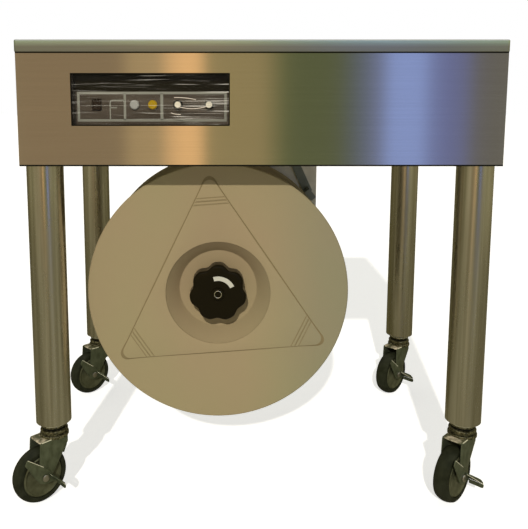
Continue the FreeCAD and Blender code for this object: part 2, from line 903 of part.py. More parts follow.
def panel_cover():
    """The clear flap that keeps dust off the switches, with its hinge barrel along the top."""
    flap = box(
        "flap_sheet",
        (WINDOW_X + " + cover_gap", FACE, WINDOW_Z + " + cover_gap"),
        (
            WINDOW_X + " + window_wide - cover_gap",
            FACE + " + cover_sheet",
            WINDOW_Z + " + window_high - flap_gap",
        ),
    )
    start = (WINDOW_X + " + cover_gap", FLAP_Y, FLAP_Z)
    barrel = rod("flap_barrel_rod", "flap_barrel", start, "window_wide - 2 * cover_gap", SIDEWAYS)
    start = (WINDOW_X + " - flap_pin_long", FLAP_Y, FLAP_Z)
    hinge_pin = rod("flap_pin_rod", "flap_pin", start, "window_wide + 2 * flap_pin_long", SIDEWAYS)
    return fuse("panel_cover", flap, barrel, hinge_pin)


def rocker_switch():
    """A rocker key with sloping ends, rocking on the pins of its housing."""
    owner = body("rocker_switch")
    key = sketch(
        owner,
        "rocker_key",
        "YZ_Plane",
        [
            ("-rocker_deep / 2", "-rocker_high / 2"),
            ("-rocker_deep / 2 - rocker_proud", "-rocker_high / 2 + rocker_gap"),
            ("-rocker_deep / 2 - rocker_proud / 2", "0"),
            ("-rocker_deep / 2 - rocker_proud / 4", "rocker_high / 2"),
            ("0", "rocker_high / 2 - rocker_gap"),
            ("rocker_deep / 4", "0"),
            ("0", "-rocker_high / 2 + rocker_gap"),
        ],
        [("0", "0", "knob_shaft / 2 + pin_gap")],
    )
    feature(owner, "Pad", "rocker_pad", key, "rocker_wide", both=True)
    return seat(owner, (ROCKER_X, PLATE_FRONT + " + rocker_deep / 2", CONTROL_Z))


def push_button(label, x):
    """A round cap that stands proud of the plate, kept in by a lip behind it."""
    lip = "-plate_sheet - seat_gap"
    corners = [
        ("0", "button_proud"),
        ("button_radius - button_lip", "button_proud"),
        ("button_radius", "button_proud - button_lip"),
        ("button_radius", lip),
        ("button_radius + button_lip", lip),
        ("button_radius + button_lip", lip + " - button_lip_thick"),
        ("0", lip + " - button_lip_thick"),
    ]
    return turned(label, corners, (x, PLATE_FRONT, CONTROL_Z), SQUARE)


def adjuster_knob(label, x):
    """A bright knob with a skirt, and its shaft down to the board."""
    shaft_end = "-plate_sheet - board_back + seat_gap"
    corners = [
        ("0", "knob_high"),
        ("knob_radius - button_lip", "knob_high"),
        ("knob_radius", "knob_high - button_lip"),
        ("knob_radius", "seat_gap + knob_skirt_thick"),
        ("knob_skirt", "seat_gap + knob_skirt_thick"),
        ("knob_skirt", "seat_gap"),
        ("knob_shaft", "seat_gap"),
        ("knob_shaft", shaft_end),
        ("0", shaft_end),
    ]
    return turned(label, corners, (x, PLATE_FRONT, CONTROL_Z), SQUARE)


SWITCH_LONG = "board_back - 2 * seat_gap - button_lip_thick - button_travel"


def control_board():
    """The circuit board with its four switch bodies, on posts from the plate."""
    front = BEZEL_BACK + " + board_back"
    board = box(
        "board_sheet_box",
        (RESET_X + " - 3 * pot_radius", front, CONTROL_Z + " - board_high / 2"),
        (LENGTH_X + " + 3 * pot_radius", front + " + board_sheet", CONTROL_Z + " + board_high / 2"),
    )
    parts = [board]
    for name, x, radius in CONTROLS:
        parts.append(
            rod("switch_" + name, "pot_radius", (x, front, CONTROL_Z), SWITCH_LONG, SQUARE)
        )
    for i, (x, z) in enumerate(
        ((a, b) for a in (RESET_X + " - 2 * pot_radius", LENGTH_X + " + 2 * pot_radius") for b in ("-", "+"))
    ):
        place = (x, front, "%s %s (board_high / 2 - 2 * post_radius)" % (CONTROL_Z, z))
        parts.append(rod("post_%d" % i, "post_radius", place, "board_back", SQUARE))
    tools = []
    for name, x, radius in CONTROLS[2:]:
        place = (x, front, CONTROL_Z)
        deep = SWITCH_LONG + " + overrun"
        tools.append(rod("pot_bore_" + name, "knob_shaft + pin_gap", place, deep, SQUARE))
    return cut("control_board", fuse("board_block", *parts), *tools)


def triangle_face(reach, corner, turn):
    """A triangle with round corners: tangent lines and arcs round three centres."""
    centres = []
    for i in range(3):
        angle = math.radians(90 + turn + 120 * i)
        centres.append(FreeCAD.Vector(math.cos(angle), math.sin(angle), 0).multiply(reach - corner))
    edges = []
    for i in range(3):
        here, there = centres[i], centres[(i + 1) % 3]
        along = (there - here).normalize()
        out = FreeCAD.Vector(along.y, -along.x, 0) * corner
        edges.append(Part.LineSegment(here + out, there + out).toShape())
        after = (centres[(i + 2) % 3] - there).normalize()
        out_after = FreeCAD.Vector(after.y, -after.x, 0) * corner
        middle = there + FreeCAD.Vector(there).normalize() * corner
        edges.append(Part.Arc(there + out, middle, there + out_after).toShape())
    return Part.Face(Part.Wire(Part.__sortEdges__(edges)))


def flange_shape():
    """A reel flange seen from its face at Z = 0: rolled rim, cup and raised corner panel."""
    bore, sheet_t = val("shaft_radius + pin_gap"), val("flange_sheet")
    cup_r, floor_r, deep = val("cup_radius"), val("cup_floor"), val("cup_deep")
    radius, rim = val("reel_radius"), val("rim_thick")
    outline = [
        (bore, -deep - sheet_t),
        (floor_r + sheet_t / 2, -deep - sheet_t),
        (cup_r + sheet_t / 2, -sheet_t),
        (radius - rim, -sheet_t),
        (radius - rim, -val("rim_deep")),
        (radius, -val("rim_deep")),
        (radius, 0),
        (cup_r, 0),
        (floor_r, -deep),
        (bore, -deep),
    ]
    points = [FreeCAD.Vector(r, 0, z) for r, z in outline]
    face = Part.Face(Part.makePolygon(points + points[:1]))
    disc = face.revolve(FreeCAD.Vector(0, 0, 0), FreeCAD.Vector(0, 0, 1), 360)
    rise, bar = val("tri_rise"), val("bar_rise")
    panel = triangle_face(radius * val("tri_reach_share"), radius * val("tri_corner_share"), val("tri_turn"))
    raised = panel.extrude(FreeCAD.Vector(0, 0, rise))
    ring = Part.makeCylinder(radius * val("bar_outer_share"), bar, FreeCAD.Vector(0, 0, rise))
    ring = ring.cut(Part.makeCylinder(radius * val("bar_inner_share"), bar, FreeCAD.Vector(0, 0, rise)))
    bars = panel.extrude(FreeCAD.Vector(0, 0, rise + bar)).common(ring)
    mouth = Part.makeCylinder(cup_r, 2 * (rise + bar), FreeCAD.Vector(0, 0, -rise / 2))
    return disc.fuse([raised.cut(mouth), bars]).removeSplitter()


def flange_front():
    return shaped("flange_front", flange_shape(), (REEL_X, REEL_FRONT, REEL_Z), SQUARE)


def flange_rear():
    over = SQUARE.multiply(FreeCAD.Rotation(FreeCAD.Vector(1, 0, 0), 180))
    return shaped("flange_rear", flange_shape(), (REEL_X, REEL_BACK, REEL_Z), over)


def clamp_knob():
    """The black clamping knob: a drum with finger bites round its edge and a centre cap."""
    high, radius = val("clamp_high"), val("clamp_radius")
    drum = Part.makeCylinder(radius, high)
    rim = [e for e in drum.Edges if abs(e.BoundBox.ZMin - high) < val("pin_gap") and len(e.Vertexes) == 1]
    drum = drum.makeChamfer(val("clamp_edge"), rim)
    bite = val("lobe_radius")
    for i in range(int(val("lobe_count"))):
        angle = 2 * math.pi * (i + 0.5) / val("lobe_count")
        at = FreeCAD.Vector(math.cos(angle), math.sin(angle), 0) * (radius + bite - val("lobe_bite"))
        drum = drum.cut(Part.makeCylinder(bite, high, at))
    cap = Part.makeCylinder(val("cap_radius"), val("cap_high"), FreeCAD.Vector(0, 0, high))
    bore = Part.makeCylinder(val("shaft_radius + pin_gap"), val("clamp_high - clamp_edge"))
    shape = drum.fuse(cap).cut(bore).removeSplitter()
    floor = REEL_FRONT + " + cup_deep - seat_gap"
    return shaped("clamp_knob", shape, (REEL_X, floor, REEL_Z), SQUARE)


def reel_shaft():
    """The shaft from inside the knob to its nut behind the support plate."""
    front = "cup_deep - clamp_high + clamp_edge + collar_long"
    back = "coil_wide + 2 * flange_sheet"
    end = back + " + collar_long + bearing_long + support_sheet + seat_gap"
    corners = [
        ("0", "-(%s)" % front),
        ("shaft_radius", "-(%s)" % front),
        ("shaft_radius", "-(coil_wide + 2 * flange_sheet)"),
        ("collar_radius", "-(coil_wide + 2 * flange_sheet)"),
        ("collar_radius", "-(coil_wide + 2 * flange_sheet + collar_long - seat_gap)"),
        ("shaft_radius", "-(coil_wide + 2 * flange_sheet + collar_long - seat_gap)"),
        ("shaft_radius", "-(%s)" % end),
        ("nut_radius", "-(%s)" % end),
        ("nut_radius", "-(%s + nut_long)" % end),
        ("0", "-(%s + nut_long)" % end),
    ]
    return turned("reel_shaft", corners, (REEL_X, REEL_FRONT, REEL_Z), SQUARE)


def bearing_housing():
    """A flanged bearing housing that holds the shaft in front of the support plate."""
    corners = [
        ("shaft_radius + pin_gap", "0"),
        ("bearing_radius", "0"),
        ("bearing_radius", "support_sheet"),
        ("bearing_radius - 2 * support_sheet", "2 * support_sheet"),
        ("bearing_radius - 2 * support_sheet", "bearing_long"),
        ("shaft_radius + pin_gap", "bearing_long"),
    ]
    return turned("bearing_housing", corners, (REEL_X, SUPPORT_Y, REEL_Z), SQUARE)


def support_plate():
    """The plate that hangs from the bottom pan behind the reel, with its bolted foot."""
    owner = body("support_plate")
    right = "support_right + reel_off"
    left = "-support_left + reel_off"
    top = "(%s) - %s" % (PAN_LOW, REEL_Z)
    plate = sketch(
        owner,
        "support_outline",
        "XZ_Plane",
        [
            (right, top),
            (left, top),
            (left, top + " - support_straight"),
            ("-support_nose", "-support_nose / 2"),
            ("-support_nose / 2", "-support_nose"),
            ("support_nose / 2", "-support_nose"),
            ("support_nose", "-support_nose / 2"),
            (right, top + " - support_straight"),
        ],
        [("0", "0", "shaft_radius + seat_gap")],
    )
    feature(owner, "Pad", "support_pad", plate, "support_sheet", back=True)
    foot = sketch(
        owner,
        "support_foot_outline",
        "XZ_Plane",
        [(right, top), (left, top), (left, top + " - support_sheet"), (right, top + " - support_sheet")],
    )
    feature(owner, "Pad", "support_foot_pad", foot, "support_foot", back=True)
    pin_at = ("brake_pin_x + reel_off", "%s - %s" % (BRAKE_Z, REEL_Z))
    peg = sketch(owner, "brake_peg", "XZ_Plane", [], [pin_at + ("brake_pin_radius",)])
    feature(owner, "Pad", "brake_peg_pad", peg, "2 * brake_thick")
    return seat(owner, (REEL_X, SUPPORT_Y, REEL_Z))


def polar(radius, angle, off="0"):
    """A sketch point at a radius and angle from the reel's axis, seen from the brake's pin."""
    x = "-reel_off - brake_pin_x + (%s) * cos(%s) - (%s) * sin(%s)" % (radius, angle, off, angle)
    z = "%s - %s + (%s) * sin(%s) + (%s) * cos(%s)" % (REEL_Z, BRAKE_Z, radius, angle, off, angle)
    return x, z


def brake_arm():
    """A lever on a pin of the support plate, whose shoe rests on the rear flange's rim."""
    owner = body("brake_arm")
    shoe_x, shoe_z = polar("reel_radius + seat_gap + shoe_wide / 2", "shoe_angle")
    side_x, side_z = "brake_wide / 2 * cos(brake_lean)", "brake_wide / 2 * sin(brake_lean)"
    bar = sketch(
        owner,
        "brake_bar",
        "XZ_Plane",
        [
            ("-" + side_x, "-" + side_z),
            (side_x, side_z),
            (shoe_x + " + " + side_x, shoe_z + " + " + side_z),
            (shoe_x + " - " + side_x, shoe_z + " - " + side_z),
        ],
    )
    feature(owner, "Pad", "brake_bar_pad", bar, "brake_thick", both=True)
    eye = sketch(owner, "brake_eye", "XZ_Plane", [], [("0", "0", "brake_boss")])
    feature(owner, "Pad", "brake_eye_pad", eye, "brake_thick", both=True)
    low, high = "reel_radius + seat_gap", "reel_radius + seat_gap + shoe_wide"
    shoe = sketch(
        owner,
        "brake_shoe",
        "XZ_Plane",
        [
            polar(low, "shoe_angle", "-shoe_long / 2"),
            polar(high, "shoe_angle", "-shoe_long / 2"),
            polar(high, "shoe_angle", "shoe_long / 2"),
            polar(low, "shoe_angle", "shoe_long / 2"),
        ],
        lift="-brake_thick / 2",
    )
    feature(owner, "Pad", "brake_shoe_pad", shoe, "collar_long + bearing_long - brake_thick + rim_deep")
    pivot = sketch(owner, "brake_bore", "XZ_Plane", [], [("0", "0", "brake_pin_radius + pin_gap")])
    feature(owner, "Pocket", "brake_bore_cut", pivot, "2 * brake_thick", both=True)
    return seat(owner, ("brake_pin_x", SUPPORT_Y + " - brake_thick", BRAKE_Z))


def cam_shaft():
    """The shaft with three cams side by side under the strap."""
    start = ("-cam_bar_left", SLOT, CAM_Z)
    parts = [rod("cam_bar", "cam_bar_radius", start, "cam_bar_left + cam_bar_right", SIDEWAYS)]
    for i in (-1, 0, 1):
        place = ("%d * cam_pitch - cam_wide / 2" % i, SLOT, CAM_Z + " - cam_throw")
        parts.append(rod("cam_%d" % (i + 1), "cam_radius", place, "cam_wide", SIDEWAYS))
    return fuse("cam_shaft", *parts)


BAR_TOP = HEAD_TOP + " - bar_drop"


def head_block():
    """The strapping head: two cheeks that carry the cam shaft under a slotted block."""
    wide = "cheek_in + cheek_sheet"
    block = box(
        "head_top_block",
        ("-(%s)" % wide, SLOT + " - cheek_deep", HEAD_TOP + " - head_deep"),
        (wide, SLOT + " + cheek_deep", HEAD_TOP),
    )
    cheeks = [
        box(
            "cheek_%s" % name,
            (x, SLOT + " - cheek_deep", PAN_TOP),
            (x + " + cheek_sheet", SLOT + " + cheek_deep", HEAD_TOP),
        )
        for name, x in (("left", "-(%s)" % wide), ("right", "cheek_in"))
    ]
    shelf = box(
        "heater_shelf",
        ("-shelf_wide / 2", SLOT + " + cheek_deep - overrun", HEAD_TOP + " - shelf_drop"),
        ("shelf_wide / 2", SLOT + " + cheek_deep + shelf_long", HEAD_TOP + " - shelf_drop + shelf_thick"),
    )
    tools = []
    for i in (-1, 0, 1):
        x, half = "%d * cam_pitch" % i, "bar_wide / 2 + bar_slot_gap"
        tools.append(
            box(
                "bar_slot_%d" % (i + 1),
                (x + " - " + half.replace("+", "-"), SLOT + " - bar_thick / 2 - bar_slot_gap", CAM_Z),
                (x + " + " + half, SLOT + " + bar_thick / 2 + bar_slot_gap", HEAD_TOP + " + overrun"),
            )
        )
    start = ("-(%s) - overrun" % wide, SLOT, CAM_Z)
    tools.append(rod("cam_bore", "cam_bar_radius + pin_gap", start, "2 * (%s + overrun)" % wide, SIDEWAYS))
    return cut("head_block", fuse("head_solid", block, *cheeks, shelf), *tools)


def press_bar(label, i):
    """A bar that its cam lifts against the underside of the slide plate."""
    low = CAM_Z + " - cam_throw + cam_radius + seat_gap"
    return box(
        label,
        ("%d * cam_pitch - bar_wide / 2" % i, SLOT + " - bar_thick / 2", low),
        ("%d * cam_pitch + bar_wide / 2" % i, SLOT + " + bar_thick / 2", BAR_TOP),
    )


def heater_blade():
    """The thin heater on its carrier, which runs along the shelf behind the head."""
    carrier = SLOT + " + cheek_deep + blade_travel + seat_gap"
    blade = box(
        "heater_strip",
        ("-blade_wide / 2", SLOT + " + blade_tip", HEAD_TOP + " + seat_gap"),
        ("blade_wide / 2", carrier + " + carrier_long / 2", HEAD_TOP + " + seat_gap + blade_sheet"),
    )
    shelf_top = HEAD_TOP + " - shelf_drop + shelf_thick + seat_gap"
    block = box(
        "heater_carrier",
        ("-carrier_wide / 2", carrier, shelf_top),
        ("carrier_wide / 2", carrier + " + carrier_long", HEAD_TOP + " + seat_gap + blade_sheet"),
    )
    return fuse("heater_blade", blade, block)


def gear_reducer():
    """The gear case that the motor is flanged to, with the bore for the cam shaft."""
    left = "-(cheek_in + cheek_sheet) - seat_gap - reducer_wide"
    case = box(
        "reducer_case",
        (left, SLOT + " - reducer_deep / 2", PAN_TOP),
        (left + " + reducer_wide", SLOT + " + reducer_deep / 2", PAN_TOP + " + reducer_high"),
    )
    depth = "cam_bar_left - (cheek_in + cheek_sheet)"
    start = ("-cam_bar_left - seat_gap", SLOT, CAM_Z)
    bore = rod("reducer_bore", "cam_bar_radius + pin_gap", start, depth + " + overrun", SIDEWAYS)
    return cut("gear_reducer", case, bore)


MOTOR_X = "-(cheek_in + cheek_sheet) - seat_gap - reducer_wide - motor_long"


def drive_motor():
    """A foot-mounted motor, flanged to the gear case."""
    shell = rod("motor_shell", "motor_radius", (MOTOR_X, SLOT, CAM_Z), "motor_long", SIDEWAYS)
    foot = box(
        "motor_foot_box",
        (MOTOR_X + " + motor_long / 4", SLOT + " - motor_foot / 2", PAN_TOP),
        (MOTOR_X + " + motor_long * 3 / 4", SLOT + " + motor_foot / 2", CAM_Z),
    )
    return fuse("drive_motor", shell, foot)


FEED_Z = PAN_TOP + " + feed_up"
FEED_PLATE_Y = SLOT + " + feed_back"


def feed_bracket():
    """An upright plate with a foot, which holds the feed motor."""
    plate = box(
        "feed_upright",
        ("feed_x - feed_plate_wide / 2", FEED_PLATE_Y, PAN_TOP),
        ("feed_x + feed_plate_wide / 2", FEED_PLATE_Y + " + feed_plate", FEED_Z + " + feed_plate_wide / 2"),
    )
    foot = box(
        "feed_foot",
        ("feed_x - feed_plate_wide / 2", FEED_PLATE_Y, PAN_TOP),
        ("feed_x + feed_plate_wide / 2", FEED_PLATE_Y + " + feed_plate_wide / 2", PAN_TOP + " + feed_plate"),
    )
    start = ("feed_x", FEED_PLATE_Y + " + feed_plate + overrun", FEED_Z)
    hole = rod("feed_hole", "feed_shaft + seat_gap", start, "feed_plate + 2 * overrun", SQUARE)
    return cut("feed_bracket", fuse("feed_block", plate, foot), hole)


def feed_motor():
    """The feed motor behind its bracket, with the bore for the roller's shaft."""
    corners = [
        ("feed_shaft + pin_gap", "0"),
        ("feed_motor_radius", "0"),
        ("feed_motor_radius", "-feed_motor_long"),
        ("0", "-feed_motor_long"),
        ("0", "-feed_motor_long / 2"),
        ("feed_shaft + pin_gap", "-feed_motor_long / 2"),
    ]
    place = ("feed_x", FEED_PLATE_Y + " + feed_plate", FEED_Z)
    return turned("feed_motor", corners, place, SQUARE)


def feed_roller():
    """The grooved rubber roller that pulls the strap, on its own shaft."""
    half = "feed_wide / 2"
    back = "-feed_back - feed_plate - feed_motor_long / 2 + seat_gap"
    corners = [
        ("0", half),
        ("feed_radius", half),
        ("feed_radius", "feed_wide / 4"),
        ("feed_radius - feed_groove", "feed_wide / 4"),
        ("feed_radius - feed_groove", "-feed_wide / 4"),
        ("feed_radius", "-feed_wide / 4"),
        ("feed_radius", "-(%s)" % half),
        ("feed_shaft", "-(%s)" % half),
        ("feed_shaft", back),
        ("0", back),
    ]
    return turned("feed_roller", corners, ("feed_x", SLOT, FEED_Z), SQUARE)


def transformer():
    """A laminated core with its winding through the middle."""
    x = SIDE + " - trafo_off"
    low = (x + " - trafo_wide / 2", "trafo_y - trafo_deep / 2", PAN_TOP)
    core = box(
        "trafo_core",
        (low[0], "trafo_y - trafo_deep / 4", PAN_TOP),
        (x + " + trafo_wide / 2", "trafo_y + trafo_deep / 4", PAN_TOP + " + trafo_high"),
    )
    coil = box(
        "trafo_winding",
        (x + " - trafo_coil / 2", "trafo_y - trafo_deep / 2", PAN_TOP + " + trafo_leg"),
        (x + " + trafo_coil / 2", "trafo_y + trafo_deep / 2", PAN_TOP + " + trafo_high - trafo_leg"),
    )
    return fuse("transformer", core, coil)


def power_inlet():
    """The mains inlet: a socket shell through the rear panel, with its lip outside."""
    z = PAN_TOP + " + inlet_up"
    shell = box(
        "inlet_shell",
        ("inlet_x - inlet_wide / 2 + pin_gap", BACK + " - inlet_deep", z + " + pin_gap"),
        ("inlet_x + inlet_wide / 2 - pin_gap", BACK, z + " + inlet_high - pin_gap"),
    )
    lip = box(
        "inlet_lip_box",
        ("inlet_x - inlet_wide / 2 - inlet_lip", BACK, z + " - inlet_lip"),
        ("inlet_x + inlet_wide / 2 + inlet_lip", BACK + " + inlet_lip_thick", z + " + inlet_high + inlet_lip"),
    )
    socket = box(
        "inlet_socket",
        (
            "inlet_x - inlet_wide / 2 + 2 * inlet_wall",
            BACK + " - inlet_deep + inlet_wall",
            z + " + 2 * inlet_wall",
        ),
        (
            "inlet_x + inlet_wide / 2 - 2 * inlet_wall",
            BACK + " + overrun",
            z + " + inlet_high - 2 * inlet_wall",
        ),
    )
    return cut("power_inlet", fuse("inlet_block", shell, lip), socket)


for make in (
    table_front, table_rear, slide_plate, front_panel, rear_panel, bottom_pan, control_plate,
    panel_cover, rocker_switch, control_board, flange_front, flange_rear, clamp_knob, reel_shaft,
    bearing_housing, support_plate, brake_arm, head_block, heater_blade, gear_reducer,
    drive_motor, feed_bracket, feed_motor, feed_roller, transformer, power_inlet,
):
    keep(make())
keep(side_panel("side_panel_left", -1))
keep(side_panel("side_panel_right", 1))
keep(push_button("reset_button", RESET_X))
keep(push_button("lamp_button", LAMP_X))
keep(adjuster_knob("tension_knob", TENSION_X))
keep(adjuster_knob("length_knob", LENGTH_X))
keep(cam_shaft())
keep(press_bar("left_gripper", -1))
keep(press_bar("press_bar", 0))
keep(press_bar("right_gripper", 1))
for corner in LEGS:
    for make in (leg, caster_stem, caster_fork, tyre, wheel_hub, brake_lever):
        keep(make(*corner))

doc.recompute()
faulty = [o.Label for o in doc.Objects if "Invalid" in o.State or "Error" in o.State]
faulty += [o.Label for o in NODES if o.Shape.isNull() or not o.Shape.isValid()]
if faulty:
    raise RuntimeError("faulty pieces: %s" % ", ".join(faulty))

os.makedirs("parts", exist_ok=True)
for node in NODES:
    node.Shape.exportStep(os.path.join("parts", node.Label + ".step"))
print("%d pieces" % len(NODES))
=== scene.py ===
"""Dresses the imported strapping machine: finishes for its nodes, and fine skins for the moulded and stamped
pieces. Outlines and profiles are in millimetres, the places of seats in metres, on the frame's axes."""
import json
import math

import bmesh
import bpy
import numpy as np
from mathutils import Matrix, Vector


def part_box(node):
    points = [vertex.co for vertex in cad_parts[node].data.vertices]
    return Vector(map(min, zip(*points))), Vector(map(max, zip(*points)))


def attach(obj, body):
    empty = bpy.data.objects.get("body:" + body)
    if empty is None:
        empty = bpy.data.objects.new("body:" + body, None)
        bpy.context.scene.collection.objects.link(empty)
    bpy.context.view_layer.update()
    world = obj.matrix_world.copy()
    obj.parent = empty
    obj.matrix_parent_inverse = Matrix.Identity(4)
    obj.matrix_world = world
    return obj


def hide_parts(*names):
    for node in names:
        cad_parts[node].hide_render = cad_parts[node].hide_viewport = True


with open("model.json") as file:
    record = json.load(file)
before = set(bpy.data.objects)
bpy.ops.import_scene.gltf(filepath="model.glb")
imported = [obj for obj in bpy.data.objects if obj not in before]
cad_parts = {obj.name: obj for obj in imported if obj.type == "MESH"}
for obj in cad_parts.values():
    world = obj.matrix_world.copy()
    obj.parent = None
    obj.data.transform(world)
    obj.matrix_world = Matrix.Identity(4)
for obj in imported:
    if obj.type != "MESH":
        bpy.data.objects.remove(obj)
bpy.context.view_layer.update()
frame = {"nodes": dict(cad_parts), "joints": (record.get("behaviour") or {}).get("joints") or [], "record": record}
NODES = frame["nodes"]
MM = 0.001
X, Y, Z = range(3)
LOW, HIGH = range(2)

# Where each hinge of the machine turns, in metres.
PIVOTS = {joint["name"]: np.array(joint["pos_m"]) for joint in frame["joints"] if "pos_m" in joint}

FINE = 2

# Points of a mesh nearer than MEET are one point, and an edge shorter than SLIVER goes, in metres.
MEET, SLIVER = 2e-6, 1e-6

# A seat is a place with the across and up directions of a piece's own plane. Out is across cross up.
TO_FRONT = ((1, 0, 0), (0, 0, 1))
UPRIGHT = ((1, 0, 0), (0, 1, 0))


def face_of(node, side, axis):
    """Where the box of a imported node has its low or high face, to a tenth of a millimetre."""
    return round(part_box(node)[side][axis] / MM, 1)


# Shapes

def unit(vectors):
    """Vectors brought to a length of one."""
    return vectors / (np.linalg.norm(vectors, axis=-1, keepdims=True) + 1e-12)


def grid_faces(rows, columns, closed_rows=False, closed_columns=False):
    """Joins each point of a grid to its neighbours. A closed direction joins its last line to its first."""
    i, j = np.meshgrid(
        np.arange(rows if closed_rows else rows - 1),
        np.arange(columns if closed_columns else columns - 1),
        indexing="ij",
    )
    i, j = i.ravel(), j.ravel()
    i2, j2 = (i + 1) % rows, (j + 1) % columns
    corners = [i * columns + j, i2 * columns + j, i2 * columns + j2, i * columns + j2]
    return np.stack(corners, axis=1).tolist()


def skin(name, grid, material, closed_rows=False, closed_columns=True, sharp=32):
    """A surface over a grid of points. Points that meet at a pole become one."""
    faces = grid_faces(*grid.shape[:2], closed_rows, closed_columns)
    return shell(name, grid.reshape(-1, 3), faces, material, sharp)


def shell(name, points, faces, material=None, sharp=32):
    """One mesh object from points and faces. Doubles are merged, faces are turned outward, and edges that
    bend by more than the sharp angle, in degrees, stay crisp."""
    mesh = bpy.data.meshes.new(name)
    mesh.from_pydata(np.asarray(points, float).tolist(), [], faces)
    work = bmesh.new()
    work.from_mesh(mesh)
    bmesh.ops.remove_doubles(work, verts=work.verts, dist=MEET)
    bmesh.ops.dissolve_degenerate(work, edges=work.edges, dist=SLIVER)
    bmesh.ops.recalc_face_normals(work, faces=work.faces)
    work.to_mesh(mesh)
    work.free()
    mesh.shade_smooth()
    mesh.set_sharp_from_angle(angle=math.radians(sharp))
    item = bpy.data.objects.new(name, mesh)
    bpy.context.scene.collection.objects.link(item)
    if material is not None:
        mesh.materials.append(material)
    return item


def arc(across, up, radius, start, end, steps):
    """Points of an arc about a middle, between two angles in degrees."""
    angles = np.radians(np.linspace(start, end, steps))
    return np.stack([across + radius * np.cos(angles), up + radius * np.sin(angles)], 1)


def rectangle(left, right, foot, head):
    """The four corners of an upright rectangle."""
    return [(left, foot), (right, foot), (right, head), (left, head)]


def fillet(outline, radii, steps):
    """Rounds the corners of a closed outline: an arc that touches both of its sides takes each corner's
    place, and uses up to 0.48 of a side. A corner that has a radius of nought or hardly bends stays."""
    outline = np.asarray(outline, float)
    radii = np.broadcast_to(np.asarray(radii, float), (len(outline),))
    done = []
    for k, here in enumerate(outline):
        before, after = outline[k - 1] - here, outline[(k + 1) % len(outline)] - here
        longest = 0.48 * min(np.linalg.norm(before), np.linalg.norm(after))
        before, after = unit(before), unit(after)
        half = math.acos(max(-1.0, min(1.0, float(before @ after)))) / 2
        if radii[k] <= 0 or half > math.pi / 2 - 0.01:
            done.append(here[None])
            continue
        run = min(radii[k] / math.tan(half), longest)
        middle = here + unit(before + after) * run * math.tan(half) / math.sin(half)
        start, end = here + before * run - middle, here + after * run - middle
        turn = math.atan2(start[X] * end[Y] - start[Y] * end[X], float(start @ end))
        angles = np.linspace(0, turn, steps)[:, None]
        cos, sin = np.cos(angles), np.sin(angles)
        done.append(middle + np.hstack([start[X] * cos - start[Y] * sin, start[X] * sin + start[Y] * cos]))
    return np.concatenate(done)


def seated(points, seat):
    """Puts local points (across, up, out) at a seat in the machine."""
    origin, across, up = (np.asarray(part, float) for part in seat)
    return origin + (points * MM) @ np.stack([across, up, np.cross(across, up)])


def swung(rows, angles):
    """Rows of points round the out axis. A row is a radius and a height, each one value or one an angle."""
    return np.stack([
        np.stack([radius * np.cos(angles), radius * np.sin(angles), height + 0 * angles], 1)
        for radius, height in rows
    ])


def lathe(name, profile, seat, material, steps, closed=True, sharp=32):
    """A turned piece: its (radius, out) profile swung round the out axis of its seat."""
    angles = np.linspace(0, 2 * math.pi, steps, endpoint=False)
    return skin(name, seated(swung(profile, angles), seat), material, closed, True, sharp)


def plate(name, outline, low, high, soft, seat, material, middle=None):
    """A stamped plate: an outline that is star shaped round its middle, with rounded edges on both faces.
    Each face runs from the middle to the outline drawn in by the soft radius, and each edge is a quarter
    round."""
    outline = np.asarray(outline, float)
    middle = outline.mean(0) if middle is None else np.asarray(middle, float)
    following = np.roll(outline, -1, 0)
    along = following - np.roll(outline, 1, 0)
    area = np.sum(outline[:, X] * following[:, Y] - following[:, X] * outline[:, Y])
    normal = unit(np.stack([along[:, Y], -along[:, X]], 1)) * np.sign(area)
    quarter = np.linspace(0, math.pi / 2, 4)
    inset = soft * (1 - np.concatenate([np.sin(quarter), np.cos(quarter)]))
    lower, upper = low + soft * (1 - np.cos(quarter)), high - soft * (1 - np.sin(quarter))
    centre = np.broadcast_to(middle, (1, *outline.shape))
    flat = np.concatenate([centre, outline - normal * inset[:, None, None], centre])
    out = np.concatenate([[low], lower, upper, [high]])
    grid = np.dstack([flat, np.broadcast_to(out[:, None], flat.shape[:2])])
    return skin(name, seated(grid, seat), material)


def left_of(steps):
    """The directions a quarter turn to the left of flat steps."""
    return np.stack([-steps[:, Y], steps[:, X]], 1)


def ribbon(name, path, width, low, high, soft, seat, material, closed=False):
    """A flat strip: a box section with two rounded edges carried along a flat path, mitred at its turns. At
    a mitre the section widens to 1 / 0.35 of its width at most."""
    path = np.asarray(path, float)
    if closed:
        before, after = path - np.roll(path, 1, 0), np.roll(path, -1, 0) - path
    else:
        step = np.diff(path, axis=0)
        before, after = np.vstack([step[:1], step]), np.vstack([step, step[-1:]])
    before, after = unit(before), unit(after)
    side = unit(left_of(before + after))
    mitred = side / np.clip(np.sum(side * left_of(after), axis=1), 0.35, 1)[:, None]
    quarter = np.linspace(0, math.pi / 2, 3)
    rise, run = soft * (1 - np.sin(quarter)), soft * (1 - np.cos(quarter))
    half = width / 2
    across = np.concatenate([[-half], run - half, half - rise, [half]])
    out = np.concatenate([[low], high - rise, high - run, [low]])
    flat = path[:, None] + mitred[:, None] * across[:, None]
    grid = np.dstack([flat, np.broadcast_to(out, flat.shape[:2])])
    if not closed:
        first, last = (np.broadcast_to(end.mean(0), (1, *end.shape)) for end in (grid[0], grid[-1]))
        grid = np.concatenate([first, grid, last])
    return skin(name, seated(grid, seat), material, closed, True, 40)


ASLANT = (0.31, 0.22, 0.92)


